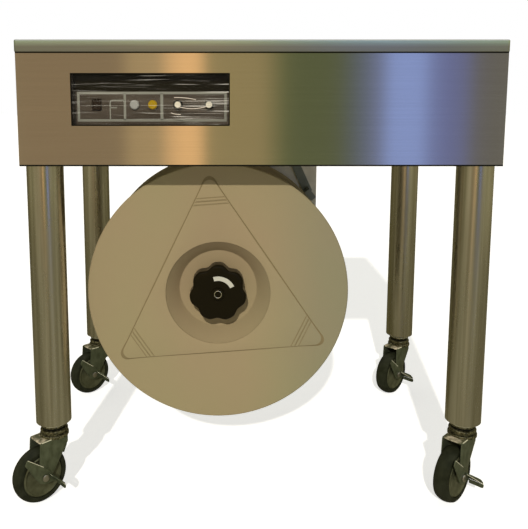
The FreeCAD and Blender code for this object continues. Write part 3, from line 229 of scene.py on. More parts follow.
def bead(name, ends, radius, seat, material):
    """A round bead of eight sides along the line between two points of a seat, closed at both ends. Its
    ring starts square to the line and to ASLANT, a direction that no bead follows."""
    start, end = np.asarray(ends, float)
    share = np.linspace(0, 1, 7)[:, None]
    path = seated(start * (1 - share) + end * share, seat)
    along = unit(path[-1] - path[0])
    first = unit(np.cross(along, ASLANT))
    angles = np.linspace(0, 2 * math.pi, 8, endpoint=False)[:, None]
    ring = (first * np.cos(angles) + np.cross(along, first) * np.sin(angles)) * radius * MM
    tips = [np.broadcast_to(tip, (1, *ring.shape)) for tip in (path[0], path[-1])]
    return skin(name, np.concatenate([tips[0], path[:, None] + ring, tips[1]]), material, sharp=60)


def shown(item, body, slot, *nodes):
    """Seats a skin on its moving body, in place of the nodes that it stands for. Its slot is not used."""
    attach(item, body)
    if nodes:
        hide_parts(*nodes)


# Places and sizes of the cabinet and the table
TABLE_HALF, TABLE_FRONT = face_of("table_front", HIGH, X), face_of("table_front", LOW, Y)
TABLE_TOP, HEM_FOOT = face_of("table_front", HIGH, Z), face_of("table_front", LOW, Z)
PANEL_HALF, PANEL_FOOT = face_of("front_panel", HIGH, X), face_of("front_panel", LOW, Z)
ON_PANEL = ((0, face_of("front_panel", LOW, Y) * MM, 0), *TO_FRONT)
LEG_FOOT = face_of("leg_front_left", LOW, Z)


# Finishes

def shader_of(material):
    """The shader of a finish."""
    return material.node_tree.nodes["Principled BSDF"]


def paint(name, colour, rough=0.5, metal=0.0, coat=0.0, brushed=0.0, gloss=0.5):
    """One finish: an even colour with its roughness, metal, coat and brushing."""
    material = bpy.data.materials.new(name)
    material.use_nodes = True
    values = {
        "Base Color": (*colour, 1), "Roughness": rough, "Metallic": metal, "Anisotropic": brushed,
        "Coat Weight": coat, "Coat Roughness": 0.08, "Specular IOR Level": gloss,
    }
    for socket, value in values.items():
        shader_of(material).inputs[socket].default_value = value
    return material


def noise_field(tree, stretch, detail, twist=(0, 0, 0), swirl=0.0):
    """Noise on the machine's own axes, stretched, turned and swirled."""
    where = tree.nodes.new("ShaderNodeTexCoord")
    mapping = tree.nodes.new("ShaderNodeMapping")
    mapping.inputs["Scale"].default_value = stretch
    mapping.inputs["Rotation"].default_value = twist
    noise = tree.nodes.new("ShaderNodeTexNoise")
    noise.inputs["Scale"].default_value = 1.0
    noise.inputs["Detail"].default_value = detail
    noise.inputs["Distortion"].default_value = swirl
    tree.links.new(where.outputs["Object"], mapping.inputs["Vector"])
    tree.links.new(mapping.outputs["Vector"], noise.inputs["Vector"])
    return noise.outputs["Fac"]


def ramp_of(tree, value, stops):
    """Colours that a value picks: an even blend between the stops, each a value and its colour."""
    ramp = tree.nodes.new("ShaderNodeValToRGB")
    elements = ramp.color_ramp.elements
    elements[0].position, elements[0].color = stops[0][0], (*stops[0][1], 1)
    elements[1].position, elements[1].color = stops[-1][0], (*stops[-1][1], 1)
    for place, colour in stops[1:-1]:
        elements.new(place).color = (*colour, 1)
    tree.links.new(value, ramp.inputs["Fac"])
    return ramp.outputs["Color"]


def grain(material, stretch, low, high, detail=4.0, window=(0.3, 0.7), socket="Base Color"):
    """Varies a finish between two tones with stretched noise. The window is where the noise goes from one
    to the other."""
    tree = material.node_tree
    tones = ramp_of(tree, noise_field(tree, stretch, detail), [(window[0], low), (window[1], high)])
    tree.links.new(tones, shader_of(material).inputs[socket])
    return tones


def relief(material, stretch, strength, depth):
    """Adds a fine bump from stretched noise."""
    tree = material.node_tree
    bump = tree.nodes.new("ShaderNodeBump")
    bump.inputs["Strength"].default_value = strength
    bump.inputs["Distance"].default_value = depth
    tree.links.new(noise_field(tree, stretch, 3.0), bump.inputs["Height"])
    tree.links.new(bump.outputs["Normal"], shader_of(material).inputs["Normal"])


def scaled(tree, value, start, end, low=0.0, high=1.0):
    """Goes from low to high while a value goes from start to end, and holds before and after."""
    node = tree.nodes.new("ShaderNodeMapRange")
    for socket, limit in {"From Min": start, "From Max": end, "To Min": low, "To Max": high}.items():
        node.inputs[socket].default_value = limit
    tree.links.new(value, node.inputs["Value"])
    return node.outputs["Result"]


def place_along(tree, axis):
    """How far a point lies along one of the machine's axes, in metres."""
    where = tree.nodes.new("ShaderNodeTexCoord")
    split = tree.nodes.new("ShaderNodeSeparateXYZ")
    tree.links.new(where.outputs["Object"], split.inputs["Vector"])
    return split.outputs[axis]


def shaded_along(material, tones, axis, start, end, stops):
    """Shades a finish along one of the machine's axes: its tones are multiplied by a factor, which goes
    through the stops, each a share of the way from start to end and a factor."""
    tree = material.node_tree
    factor = ramp_of(tree, scaled(tree, place_along(tree, axis), start, end), stops)
    product = tree.nodes.new("ShaderNodeVectorMath")
    product.operation = "MULTIPLY"
    tree.links.new(tones, product.inputs[0])
    tree.links.new(factor, product.inputs[1])
    tree.links.new(product.outputs["Vector"], shader_of(material).inputs["Base Color"])


def brushed_along(material):
    """Turns the brushing level round the cabinet, as a sheet is ground along its length, so that what it
    mirrors is drawn out up and down and stays sharp from side to side."""
    tree = material.node_tree
    lay = tree.nodes.new("ShaderNodeTangent")
    lay.direction_type, lay.axis = "RADIAL", "Z"
    tree.links.new(lay.outputs["Tangent"], shader_of(material).inputs["Tangent"])
    shader_of(material).inputs["Anisotropic Rotation"].default_value = 0.25


def clear_sheet():
    """A clear sheet that is nearly unseen, with wavy glints painted along it as pale streaks in its alpha, which
    grow toward its right end.
    """
    material = paint("clear_sheet", (0.95, 0.92, 0.86), 0.12)
    tree = material.node_tree
    streak = noise_field(tree, (8.0, 1.0, 340.0), 2.5, (0, 0.05, 0), 0.5)
    strongest = scaled(tree, place_along(tree, "X"), -0.30, -0.08, 0.09, 0.30)
    glint = scaled(tree, streak, 0.59, 0.70, 0.004)
    tree.links.new(strongest, glint.node.inputs["To Max"])
    tree.links.new(glint, shader_of(material).inputs["Alpha"])
    return material


# Steel of the cabinet and the table. The hem of the table carries a painted reflection: it is dark at its
# foot, and paler and greener just under its fold.
STAINLESS = paint("brushed_stainless", (0.60, 0.58, 0.53), 0.12, 1.0, brushed=0.9)
grain(STAINLESS, (3.0, 3.0, 420.0), (0.585, 0.565, 0.515), (0.615, 0.595, 0.545), 2.0)
brushed_along(STAINLESS)
EDGE_STEEL = paint("table_stainless", (0.59, 0.60, 0.56), 0.42, 1.0, brushed=0.6)
EDGE_TONES = grain(EDGE_STEEL, (4.0, 4.0, 300.0), (0.555, 0.57, 0.53), (0.605, 0.62, 0.58), 2.0)
brushed_along(EDGE_STEEL)
# Factors of the painted reflection on the hem, from its foot up to its fold.
HEM_DARK_REFLECTION, HEM_PALE_REFLECTION, AS_IT_IS = (0.81, 0.84, 0.90), (1.14, 1.40, 1.34), (1, 1, 1)
HEM_REFLECTION_STOPS = [
    (0.0, HEM_DARK_REFLECTION), (0.42, HEM_DARK_REFLECTION), (0.80, HEM_PALE_REFLECTION), (0.89, HEM_PALE_REFLECTION), (0.905, AS_IT_IS), (1.0, AS_IT_IS),
]
shaded_along(EDGE_STEEL, EDGE_TONES, "Z", HEM_FOOT * MM, TABLE_TOP * MM, HEM_REFLECTION_STOPS)
LEG_STEEL = paint("polished_tube", (0.58, 0.56, 0.50), 0.2, 1.0)
grain(LEG_STEEL, (150.0, 150.0, 2.5), (0.47, 0.445, 0.365), (0.68, 0.655, 0.585), 3.0, (0.34, 0.66))
grain(LEG_STEEL, (40.0, 40.0, 9.0), (0.22, 0.22, 0.22), (0.34, 0.34, 0.34), 3.0, socket="Roughness")
GALVANISED = paint("galvanised_sheet", (0.72, 0.70, 0.62), 0.4, 0.8)
grain(GALVANISED, (40.0, 40.0, 40.0), (0.68, 0.66, 0.58), (0.84, 0.82, 0.74))

# Castors
CASTOR_STEEL = paint("dull_zinc", (0.12, 0.12, 0.075), 0.38, 0.75)
grain(CASTOR_STEEL, (90.0, 90.0, 60.0), (0.110, 0.130, 0.080), (0.19, 0.218, 0.145))
RING_STEEL = paint("worn_zinc", (0.16, 0.15, 0.09), 0.32, 0.85)
grain(RING_STEEL, (260.0, 260.0, 300.0), (0.07, 0.066, 0.034), (0.38, 0.36, 0.22), 2.0, (0.40, 0.72))
PLAIN_STEEL = paint("turned_steel", (0.46, 0.44, 0.39), 0.32, 0.95)
CROWN_STEEL = paint("bare_crown", (0.46, 0.40, 0.28), 0.4, 0.15)
grain(CROWN_STEEL, (75.0, 75.0, 75.0), (0.12, 0.12, 0.065), (0.74, 0.65, 0.48), 3.0, (0.45, 0.64))
# A pale finish for painted highlights along the castors' edges and rims.
PAINTED_HIGHLIGHT = paint("painted_edge_highlight", (0.88, 0.86, 0.64), 0.35, 0.1)
TYRE = paint("black_rubber", (0.016, 0.018, 0.009), 0.62, gloss=0.22)
grain(TYRE, (50.0, 50.0, 50.0), (0.011, 0.013, 0.006), (0.026, 0.029, 0.016))
HUB = paint("dust_cover_steel", (0.075, 0.077, 0.045), 0.42, 0.5)
grain(HUB, (70.0, 70.0, 70.0), (0.080, 0.084, 0.044), (0.15, 0.157, 0.092))

# Strap reel. Its moulding turns darker and cooler toward its right side: painted shade, as though lit warmly from
# the left.
REEL = paint("beige_moulding", (0.35, 0.285, 0.15), 0.58, gloss=0.28)
REEL_TONES = grain(REEL, (3.4, 3.4, 2.6), (0.352, 0.262, 0.158), (0.322, 0.290, 0.150), 2.0, (0.25, 0.75))
relief(REEL, (500.0, 500.0, 500.0), 0.06, 0.0002)
# Factors of the painted shade across the reel, from its left side to its right.
REEL_SHADE_STOPS = [(0, AS_IT_IS), (0.25, (0.97, 0.985, 1)), (0.75, (0.83, 0.915, 1)), (1, (0.80, 0.90, 1))]
shaded_along(REEL, REEL_TONES, "X", -0.02, 0.17, REEL_SHADE_STOPS)
# A darker tone of the moulding: painted shade on the panel's slope and beside its ribs.
REEL_PAINTED_SHADE = paint("beige_painted_shade", (0.235, 0.185, 0.095), 0.6, gloss=0.25)
KNOB = paint("black_phenolic", (0.0085, 0.0065, 0.0025), 0.3, gloss=0.12)
WHITE_MARK = paint("white_mark", (0.56, 0.55, 0.47), 0.5)
CHROME = paint("polished_chrome", (0.92, 0.90, 0.82), 0.12, 1.0)
ARM_STEEL = paint("blackened_steel", (0.21, 0.24, 0.235), 0.45, 0.2)

# Control recess
PANEL = paint("charcoal_moulding", (0.075, 0.062, 0.046), 0.5)
grain(PANEL, (9.0, 9.0, 70.0), (0.040, 0.030, 0.021), (0.085, 0.068, 0.052), 3.0)
PANEL_DEEP = paint("black_moulding", (0.008, 0.0065, 0.002), 0.5, gloss=0.1)
PRINT = paint("pale_print", (0.25, 0.25, 0.21), 0.6)
BUTTON = paint("button_grey", (0.33, 0.33, 0.31), 0.45)
LENS = paint("button_yellow", (0.38, 0.24, 0.004), 0.4, gloss=0.2)
# Black for the adjusters' skirts, and for strips that paint shade in gaps and recesses.
BLACK_TRIM_AND_SHADE = paint("black_trim_and_painted_shade", (0.006, 0.006, 0.004), 0.6, gloss=0.1)
ROCKER = paint("brown_rocker", (0.016, 0.009, 0.005), 0.4, gloss=0.2)
CAP = paint("cream_cap", (0.78, 0.72, 0.58), 0.3, coat=0.3)
GLINT = paint("crease_glint", (0.95, 0.84, 0.72), 0.4)
CLEAR = clear_sheet()

# Inner works
BOARD = paint("green_board", (0.03, 0.16, 0.06), 0.5)
CAST = paint("cast_grey", (0.24, 0.25, 0.25), 0.6, 0.3)
MOTOR = paint("motor_paint", (0.06, 0.12, 0.2), 0.45)
TOOL = paint("tool_steel", (0.50, 0.48, 0.42), 0.35, 0.9)
ROLLER = paint("roller_rubber", (0.08, 0.05, 0.03), 0.7)
CORE = paint("core_steel", (0.2, 0.2, 0.2), 0.5, 0.6)

FINISH = {
    "stainless": STAINLESS, "leg_steel": LEG_STEEL, "galvanised": GALVANISED, "castor_steel": CASTOR_STEEL,
    "bright_steel": PLAIN_STEEL, "tyre": TYRE, "hub_plastic": HUB, "reel_plastic": REEL, "knob_plastic": KNOB,
    "panel_black": PANEL, "clear": CLEAR, "button_grey": BUTTON, "button_yellow": LENS, "knob_chrome": CHROME,
    "board": BOARD, "dark_steel": ARM_STEEL, "cast_grey": CAST, "motor_paint": MOTOR, "brass_tool": TOOL,
    "roller_rubber": ROLLER, "core_steel": CORE,
}


def painted(node, material):
    """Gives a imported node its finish."""
    mesh = NODES[node].data
    mesh.materials.clear()
    mesh.materials.append(material)


for part in frame["record"]["subparts"]:
    painted(part["node"], FINISH[part["material_slot"]])
painted("rocker_switch", ROCKER)


# Folded table plates: the thickness of the sheet and of its turned-down skirt, the fold's radius, how far in
# the edge's section reaches, the corners' radius and half the width of the bay between the plates.
SHEET, SKIRT, FOLD, RIM, TABLE_CORNER, BAY_HALF = 2.0, 1.5, 3.0, 5.6, 6.0, 75.0


def folded_section():
    """The section (inset, height) of a plate's edge: from the top over a fold of 3 mm and down the skirt to
    its eased foot, then up inside and back under the sheet."""
    return np.concatenate(
        [
            [(RIM, TABLE_TOP)],
            arc(FOLD, TABLE_TOP - FOLD, FOLD, 90, 180, 7),
            [(0, TABLE_TOP - 3.6), (0, HEM_FOOT + 1), (0.3, HEM_FOOT + 0.3), (SKIRT / 2, HEM_FOOT + 0.05)],
            [(SKIRT - 0.3, HEM_FOOT + 0.3), (SKIRT, HEM_FOOT + 1), (SKIRT, TABLE_TOP - 3.6)],
            [(2.0, TABLE_TOP - 2.4), (3.2, TABLE_TOP - SHEET), (RIM, TABLE_TOP - SHEET)],
        ]
    )


def folded_plate(name, back, notch, side):
    """One table plate: the folded section is carried along three of its edges and round two corners of
    6 mm. The flat top and underside fill the middle, with a notch for the bay in the back edge. A side of
    -1 turns the plate to the rear."""
    left = -arc(0, 0, 1, 0, 90, 7)
    right = left[::-1] * (-1, 1)
    normal = np.vstack([[(-1, 0)], left, right, [(1, 0)]])
    turn_x, turn_y = TABLE_HALF - TABLE_CORNER, TABLE_FRONT + TABLE_CORNER
    path = np.vstack(
        [
            [(-TABLE_HALF, back)],
            left * TABLE_CORNER + (-turn_x, turn_y),
            right * TABLE_CORNER + (turn_x, turn_y),
            [(TABLE_HALF, back)],
        ]
    )
    inset, height = folded_section().T
    flat = path[:, None] - normal[:, None] * inset[:, None]
    edge = np.dstack([flat, np.broadcast_to(height, flat.shape[:2])])
    bay = [(BAY_HALF, back), (BAY_HALF, back - notch), (-BAY_HALF, back - notch), (-BAY_HALF, back)]
    bay_top, bay_under = (np.insert(bay, 2, level, axis=1) for level in (TABLE_TOP, TABLE_TOP - SHEET))
    points = np.vstack([edge.reshape(-1, 3), bay_top, bay_under])

    count, deep = edge.shape[:2]
    ends = count * deep
    first_ring, last_ring = list(range(deep)), list(range(ends - deep, ends))
    tops = [*range(0, ends, deep), *range(ends, ends + 4)]
    unders = [*range(deep - 1, ends, deep), *range(ends + 4, ends + 8)]
    back_top, back_under = tops[count - 1:] + tops[:1], unders[count - 1:] + unders[:1]
    faces = grid_faces(count, deep) + [first_ring, last_ring]
    faces += [(back_top[k], back_under[k], back_under[k + 1], back_top[k + 1]) for k in range(5)]
    faces += [tops, unders]
    return shell(name, points * (MM, side * MM, MM), faces, EDGE_STEEL, 28)


def hinge_barrel(name, start):
    """A rolled hinge barrel under the rear plate's skirt, 50 mm long, with its ends eased."""
    profile = [(3.05, 0), (4.4, 0), (5, 0.6), (5, 49.4), (4.4, 50), (3.05, 50)]
    seat = (PIVOTS["table_lift"] + (start * MM, 0, 0), (0, 1, 0), (0, 0, 1))
    return lathe(name, profile, seat, EDGE_STEEL, 32, sharp=40)


def panel_shadow_line(name, height, width, behind):
    """A black strip of painted shadow along the front panel, from one side to the other, 0.7 mm proud of its face.
    """
    end = PANEL_HALF - 0.3
    path = [(-end, height), (0, height), (end, height)]
    return ribbon(name, path, width, behind, 0.7, 0.4, ON_PANEL, BLACK_TRIM_AND_SHADE)


front_seam, rear_seam = face_of("table_front", HIGH, Y), -face_of("table_rear", LOW, Y)
shown(folded_plate("table_front_sheet", front_seam, 26.0, 1), "cabinet", "stainless", "table_front")
shown(folded_plate("table_rear_sheet", rear_seam, 50.0, -1), "rear_table", "stainless", "table_rear")
shown(hinge_barrel("table_barrel_left", -300), "rear_table", "stainless")
shown(hinge_barrel("table_barrel_right", 250), "rear_table", "stainless")
# Painted shadow: black strips under the table's hem and along the panel's foot.
shown(panel_shadow_line("panel_upper_shadow_line", HEM_FOOT - 1.3, 2.4, -0.2), "cabinet", "panel_black")
shown(panel_shadow_line("panel_lower_shadow_line", PANEL_FOOT - 1.0, 2.8, -1.4), "cabinet", "panel_black")


# Strap reel. Its seats look along the shaft: one lies on the flange's flat, the other at the knob's back.
# The three-cornered panel stands PROUD of the flat, and its tips lie a THIRD of a turn apart.
REEL_X, _, REEL_Z = PIVOTS["reel_spin"]
ON_REEL = ((REEL_X, (face_of("flange_front", LOW, Y) + 4.0) * MM, REEL_Z), *TO_FRONT)
ON_KNOB = ((REEL_X, face_of("clamp_knob", HIGH, Y) * MM, REEL_Z), *TO_FRONT)
FLANGE_RADIUS, FLANGE_WALL, BORE = 262.0, 4.0, 10.2
CUP_DEPTH, CUP_FLOOR, CUP_MOUTH = 38.0, 78.0, 106.6
TIP_REACH, TIP_RADIUS, TIP_ANGLE = 217.1, 14.0, 94.3
PROUD = 2.5
THIRD = 2 * math.pi / 3


def reel_face():
    """The front flange: a closed profile from the bore over the cup's floor and its leaning wall to the
    flat, the rolled rim and back along the rear, every bend an arc, swung round the shaft's axis."""
    behind = CUP_DEPTH + FLANGE_WALL
    profile = np.concatenate(
        [
            [(BORE, -behind), (BORE, -CUP_DEPTH)],
            arc(CUP_FLOOR, 3 - CUP_DEPTH, 3, -90, -32, 6),
            arc(CUP_MOUTH, -3, 3, 148, 90, 6),
            arc(FLANGE_RADIUS - 3.5, -3.5, 3.5, 90, 0, 7),
            arc(FLANGE_RADIUS - 2, -6.5, 1.5, 0, -90, 4)[1:],
            arc(FLANGE_RADIUS - 4, -7, 1, -90, -180, 4)[1:],
            [(FLANGE_RADIUS - 5, -FLANGE_WALL), (107, -FLANGE_WALL), (82, -behind)],
        ]
    )
    return lathe("reel_face", profile, ON_REEL, REEL, 160 * FINE, sharp=38)


def from_tip(angles):
    """How far each angle lies from the nearest tip of the three-cornered panel."""
    return np.abs((angles - math.radians(TIP_ANGLE) + THIRD / 2) % THIRD - THIRD / 2)


def panel_edge(angles):
    """How far the corner panel's outline lies from the axis at each angle: the sides are straight, and
    each tip is a circle of TIP_RADIUS whose centre lies TIP_REACH out."""
    gap = from_tip(angles)
    side = (TIP_REACH / 2 + TIP_RADIUS) / np.cos(THIRD / 2 - gap)
    tip = TIP_REACH * np.cos(gap) + np.sqrt(np.maximum(TIP_RADIUS**2 - (TIP_REACH * np.sin(gap)) ** 2, 0))
    touch = math.atan2(TIP_RADIUS * math.sin(THIRD / 2), TIP_REACH + TIP_RADIUS / 2)
    return np.where(gap < touch, tip, side)


def panel_angles():
    """Angles round the panel, drawn together by up to 0.07 within 0.5 of each tip, so that its arc is
    smooth."""
    angles = np.linspace(0, 2 * math.pi, 720, endpoint=False)
    for k in range(3):
        gap = (angles - math.radians(TIP_ANGLE) - k * THIRD + math.pi) % (2 * math.pi) - math.pi
        angles = angles - 0.07 * np.sin(np.clip(gap / 0.5, -1, 1) * math.pi)
    return angles


def corner_panel():
    """The raised three-cornered panel: rows run from the cup's mouth, where it falls into the cup in a
    round, to just inside the outline of panel_edge."""
    angles = panel_angles()
    edge = panel_edge(angles)
    rows = [(104.4, -1.6), (104.7, 0.6), (105.5, 1.9), (107.2, PROUD)]
    rows += [(edge - 2.2, PROUD), (edge - 1.2, PROUD - 0.15), (edge - 0.5, PROUD - 0.5), (edge - 0.5, 0.2)]
    return skin("corner_panel", seated(swung(rows, angles), ON_REEL), REEL, sharp=30)


def panel_slope():
    """The drafted slope round the panel in a darker tone, which is painted shade: it falls from the panel's
    edge to the flat with a soft hollow foot. It is 2 mm wide along the sides and 6.5 mm wide at the tips,
    by a bell curve."""
    angles = panel_angles()
    edge = panel_edge(angles)
    wide = 2.0 + 4.5 * np.exp(-((from_tip(angles) / 0.085) ** 2))
    rows = [(edge - 0.7, 0.1), (edge - 0.7, 2.1), (edge - 0.2 + 0.1 * wide, 1.9)]
    rows += [(edge + share * wide, out) for share, out in ((0.45, 1.0), (0.8, 0.4), (1.0, 0.08), (1.0, -0.2))]
    return skin("panel_slope", seated(swung(rows, angles), ON_REEL), REEL_PAINTED_SHADE, sharp=40)


def across_tip(name, k, offset, short, width, out, soft, material):
    """A straight strip across one tip of the panel, at an offset from the axis, that stands out from just
    under the panel's face and ends short of the panel's sides."""
    tip = math.radians(TIP_ANGLE) + k * THIRD
    along = np.array([-math.sin(tip), math.cos(tip)])
    middle = np.array([math.cos(tip), math.sin(tip)]) * offset
    half = (TIP_REACH - offset) * math.tan(math.pi / 6) + TIP_RADIUS / math.cos(math.pi / 6) - short
    path = [middle - along * half, middle, middle + along * half]
    name = "%s_%d_%d" % (name, k, offset)
    strip = ribbon(name, path, width, PROUD - 0.3, PROUD + out, soft, ON_REEL, material)
    shown(strip, "front_flange", "reel_plastic")


shown(reel_face(), "front_flange", "reel_plastic", "flange_front")
shown(corner_panel(), "front_flange", "reel_plastic")
shown(panel_slope(), "front_flange", "reel_plastic")
for k in range(3):
    for offset in (184.5, 191.5):
        across_tip("panel_rib", k, offset, 1.6, 4.6, 1.2, 1.1, REEL)
    # Thin dark strips beside the ribs paint the shade at their feet.
    for offset in (181.0, 188.0, 195.0):
        across_tip("rib_shade_line", k, offset, 1.2, 1.5, 0.12, 0.1, REEL_PAINTED_SHADE)


# Clamping knob
KNOB_RADIUS, LOBES, LOBE_TURN, BITE = 58.0, 7, 12, 7.0


def clamp_knob():
    """The clamping knob: seven lobes, whose radius of 58 mm loses a round bite of 7 mm between them. Up
    the profile it swells out of a neck, turns over a shoulder and dips to its middle. Each row of the
    profile is a radius, a height and the share of the bite that it takes."""
    angles = np.linspace(0, 2 * math.pi, 126 * FINE, endpoint=False)
    bite = (0.5 + 0.5 * np.cos(LOBES * (angles - math.radians(LOBE_TURN)))) ** 1.7
    shoulder = np.radians(np.linspace(0, 90, 8))[1:]
    rows = [(0.0, 0.2, 0), (30, 0.2, 0), (40, 0.2, 0.3), (49, 2, 0.7), (56, 7, 1)]
    rows += [(KNOB_RADIUS, 12, 1), (KNOB_RADIUS, 36, 1)]
    rows += [
        (KNOB_RADIUS - 8 * (1 - math.cos(a)), 37 + 7.6 * math.sin(a), 1 - 0.35 * math.sin(a))
        for a in shoulder
    ]
    rows += [(44, 44.9, 0.45), (36, 44.6, 0.2), (22, 43.8, 0), (14, 43.6, 0), (0, 43.6, 0)]
    bitten = [(radius - BITE * share * bite, out - 0.6 * share * bite) for radius, out, share in rows]
    return skin("lobed_knob", seated(swung(bitten, angles), ON_KNOB), KNOB, sharp=45)


def knob_screw():
    """The screw in the knob's middle: a drum with a rolled edge and a round socket sunk in it."""
    socket = [(7.2, 48.8), (6.4, 48.2), (6.2, 45.2), (0, 45.0)]
    profile = np.concatenate([[(0, 43), (12, 43)], arc(10.6, 47.4, 1.4, 0, 90, 5), socket])
    return lathe("knob_screw", profile, ON_KNOB, KNOB, 48 * FINE, False, 40)


def knob_screw_lip():
    """The polished lip round the knob's screw: a thin ring let into the screw's face."""
    return lathe("knob_screw_lip", arc(7.0, 48.7, 0.75, 0, 315, 8), ON_KNOB, CHROME, 48, sharp=60)


def knob_band():
    """A plain pale band printed round part of the knob's face, 27 to 36 mm from its middle."""
    angles = np.radians(np.linspace(26, 106, 60))
    rows = [(27, 43.9), (27, 44.62), (31.5, 44.72), (36, 44.82), (36, 43.9)]
    return skin("knob_band", seated(swung(rows, angles), ON_KNOB), WHITE_MARK, False, False, 40)


shown(clamp_knob(), "knob", "knob_plastic", "clamp_knob")
shown(knob_screw(), "knob", "knob_plastic")
shown(knob_screw_lip(), "knob", "knob_plastic")
shown(knob_band(), "knob", "knob_plastic")


# Control recess: its floor lies as deep as the adjusters' seats.
RECESS_FLOOR, CONTROL_HEIGHT = PIVOTS["tension_turn"][1:]
ON_FLOOR = ((0, RECESS_FLOOR, 0), *TO_FRONT)
WINDOW = (-348, -59, 745, 839)
PRINT_LEFT, PRINT_RIGHT, PRINT_FOOT, PRINT_HEAD = -339, -66, 753.5, 804
BRACKET_X, DIVIDERS = -280.3, (-253, -184.3)


def printed(name, path, width, closed=False):
    """A pale printed line on the recess's floor, 0.25 mm proud."""
    line = ribbon(name, path, width, -0.2, 0.25, 0.1, ON_FLOOR, PRINT, closed)
    shown(line, "cabinet", "panel_black")


printed("frame_print", rectangle(PRINT_LEFT, PRINT_RIGHT, PRINT_FOOT, PRINT_HEAD), 4.6, True)
for name, x, width in (("left", DIVIDERS[0], 4.4), ("right", DIVIDERS[1], 5.4)):
    printed("divider_print_" + name, [(x, PRINT_FOOT + 0.5), (x, PRINT_HEAD - 0.5)], width)
bracket = [(BRACKET_X, 755), (BRACKET_X, 790.6), (DIVIDERS[0], 790.6)]
printed("bracket_print", fillet(bracket, [0, 5, 0], 6), 2.2)
printed("tick_print", [(BRACKET_X, 777), (-268, 777)], 2.2)


def upper_field():
    """The black field printed above the frame: a thin sheet with eased edges on the recess's floor."""
    left, right, _, head = WINDOW
    outline = fillet(rectangle(left - 0.4, right + 0.4, PRINT_HEAD + 3, head + 0.6), 1.5, 4)
    return plate("upper_field", outline, -0.2, 0.2, 0.1, ON_FLOOR, PANEL_DEEP)


def bezel(name, button, inner, outer, out):
    """A flat ring round a button on the recess's floor."""
    middle = (face_of(button, LOW, X) + face_of(button, HIGH, X)) / 2
    profile = [(inner, -0.2), (inner, out), (outer - 0.5, out), (outer, out - 0.5), (outer, -0.2)]
    return lathe(name, profile, ((middle * MM, RECESS_FLOOR, CONTROL_HEIGHT), *TO_FRONT), PANEL, 48)


def adjuster(body):
    """An adjuster: a wide black skirt under a black drum with a domed cream end."""
    name = body + "_knob"
    skirt = [(3.2, 0.4), (9, 0.4), (9, 2.0), (8.6, 2.6), (7.1, 2.6), (7.1, 10.4), (3.2, 10.4)]
    dome = np.concatenate([[(0, 9.0), (6.0, 9.0), (6.0, 11.0)], arc(4.6, 11.6, 1.4, 0, 90, 5), [(0, 13)]])
    seat = (PIVOTS[body + "_turn"], *TO_FRONT)
    shown(lathe(name + "_skirt", skirt, seat, BLACK_TRIM_AND_SHADE, 40), body, "knob_chrome", name)
    shown(lathe(name + "_end", dome, seat, CAP, 40, False), body, "knob_chrome")


def window_shade_line():
    """Painted shade round the window: a black rounded strip along the opening's four sides."""
    loop = fillet(rectangle(*WINDOW), 3.0, 4)
    return ribbon("window_shade_line", loop, 3.0, -1.0, 0.0, 0.6, ON_PANEL, BLACK_TRIM_AND_SHADE, True)


def crease_glint_line(name, start, sag, end):
    """A painted glint along a crease in the clear sheet: a hair-fine pale strip that hangs in a parabola between
    two points.
    """
    share = np.linspace(0, 1, 13)[:, None]
    straight = np.asarray(start, float) * (1 - share) + np.asarray(end, float) * share
    path = straight - np.array([0, 4 * sag]) * share * (1 - share)
    strip = ribbon(name, path, 1.0, -0.6, -0.05, 0.2, ON_PANEL, GLINT)
    shown(strip, "cover", "clear")


shown(upper_field(), "cabinet", "panel_black")
shown(bezel("lamp_bezel", "lamp_button", 8.7, 10.2, 1.2), "cabinet", "panel_black")
shown(bezel("reset_bezel", "reset_button", 8.7, 9.8, 1.0), "cabinet", "panel_black")
adjuster("tension")
adjuster("length")
shown(window_shade_line(), "cabinet", "panel_black")
# Painted glints along creases of the clear sheet.
crease_glint_line("sheet_crease_glint_long", (-158, 781), 5.0, (-99, 780))
crease_glint_line("sheet_crease_glint_short", (-166, 768), 1.0, (-148, 765))
crease_glint_line("sheet_crease_glint_high", (-160, 796), -1.0, (-120, 792))


# Castors. TRAIL points from the axle to the swivel axis. The wheel's seat has its out axis along the axle,
# toward the brake lever's side.
TRAIL = np.array([math.cos(math.pi / 4), math.sin(math.pi / 4), 0])
SIDEWAYS = np.cross(TRAIL, (0, 0, 1))
ALONG_AXLE = (TRAIL, (0, 0, 1))
OVER_WHEEL = (TRAIL, -SIDEWAYS)


def wheel(corner, on_axle):
    """The tyre with its crowned tread, and the hub under a dished dust cover on both sides."""
    body = "wheel_" + corner
    tread = np.concatenate(
        [
            [(42.2, -14.6)],
            arc(49.0, -12.2, 2.8, -90, -15, 6),
            arc(27.0, 0, 27.95, -24, 24, 9),
            arc(49.0, 12.2, 2.8, 15, 90, 6),
            [(42.2, 14.6)],
        ]
    )
    tyre = lathe("tyre_skin_" + corner, tread, on_axle, TYRE, 72 * FINE, sharp=50)
    shown(tyre, body, "tyre", "tyre_" + corner)
    half = np.concatenate(
        [
            [(5.2, 17.5), (9.6, 17.5)],
            arc(10, 16.5, 1.0, 90, 0, 3),
            [(11.4, 13.2), (13, 12.0), (26, 12.6), (33, 13.4)],
            arc(38.6, 13.6, 1.6, 150, 30, 6),
            [(41.0, 13.2), (42.1, 12.5), (42.2, 11.8)],
        ]
    )
    hub = np.concatenate([half, half[::-1] * (1, -1)])
    cover = lathe("dust_cover_" + corner, hub, on_axle, HUB, 60 * FINE, sharp=40)
    shown(cover, body, "hub_plastic", "wheel_hub_" + corner)


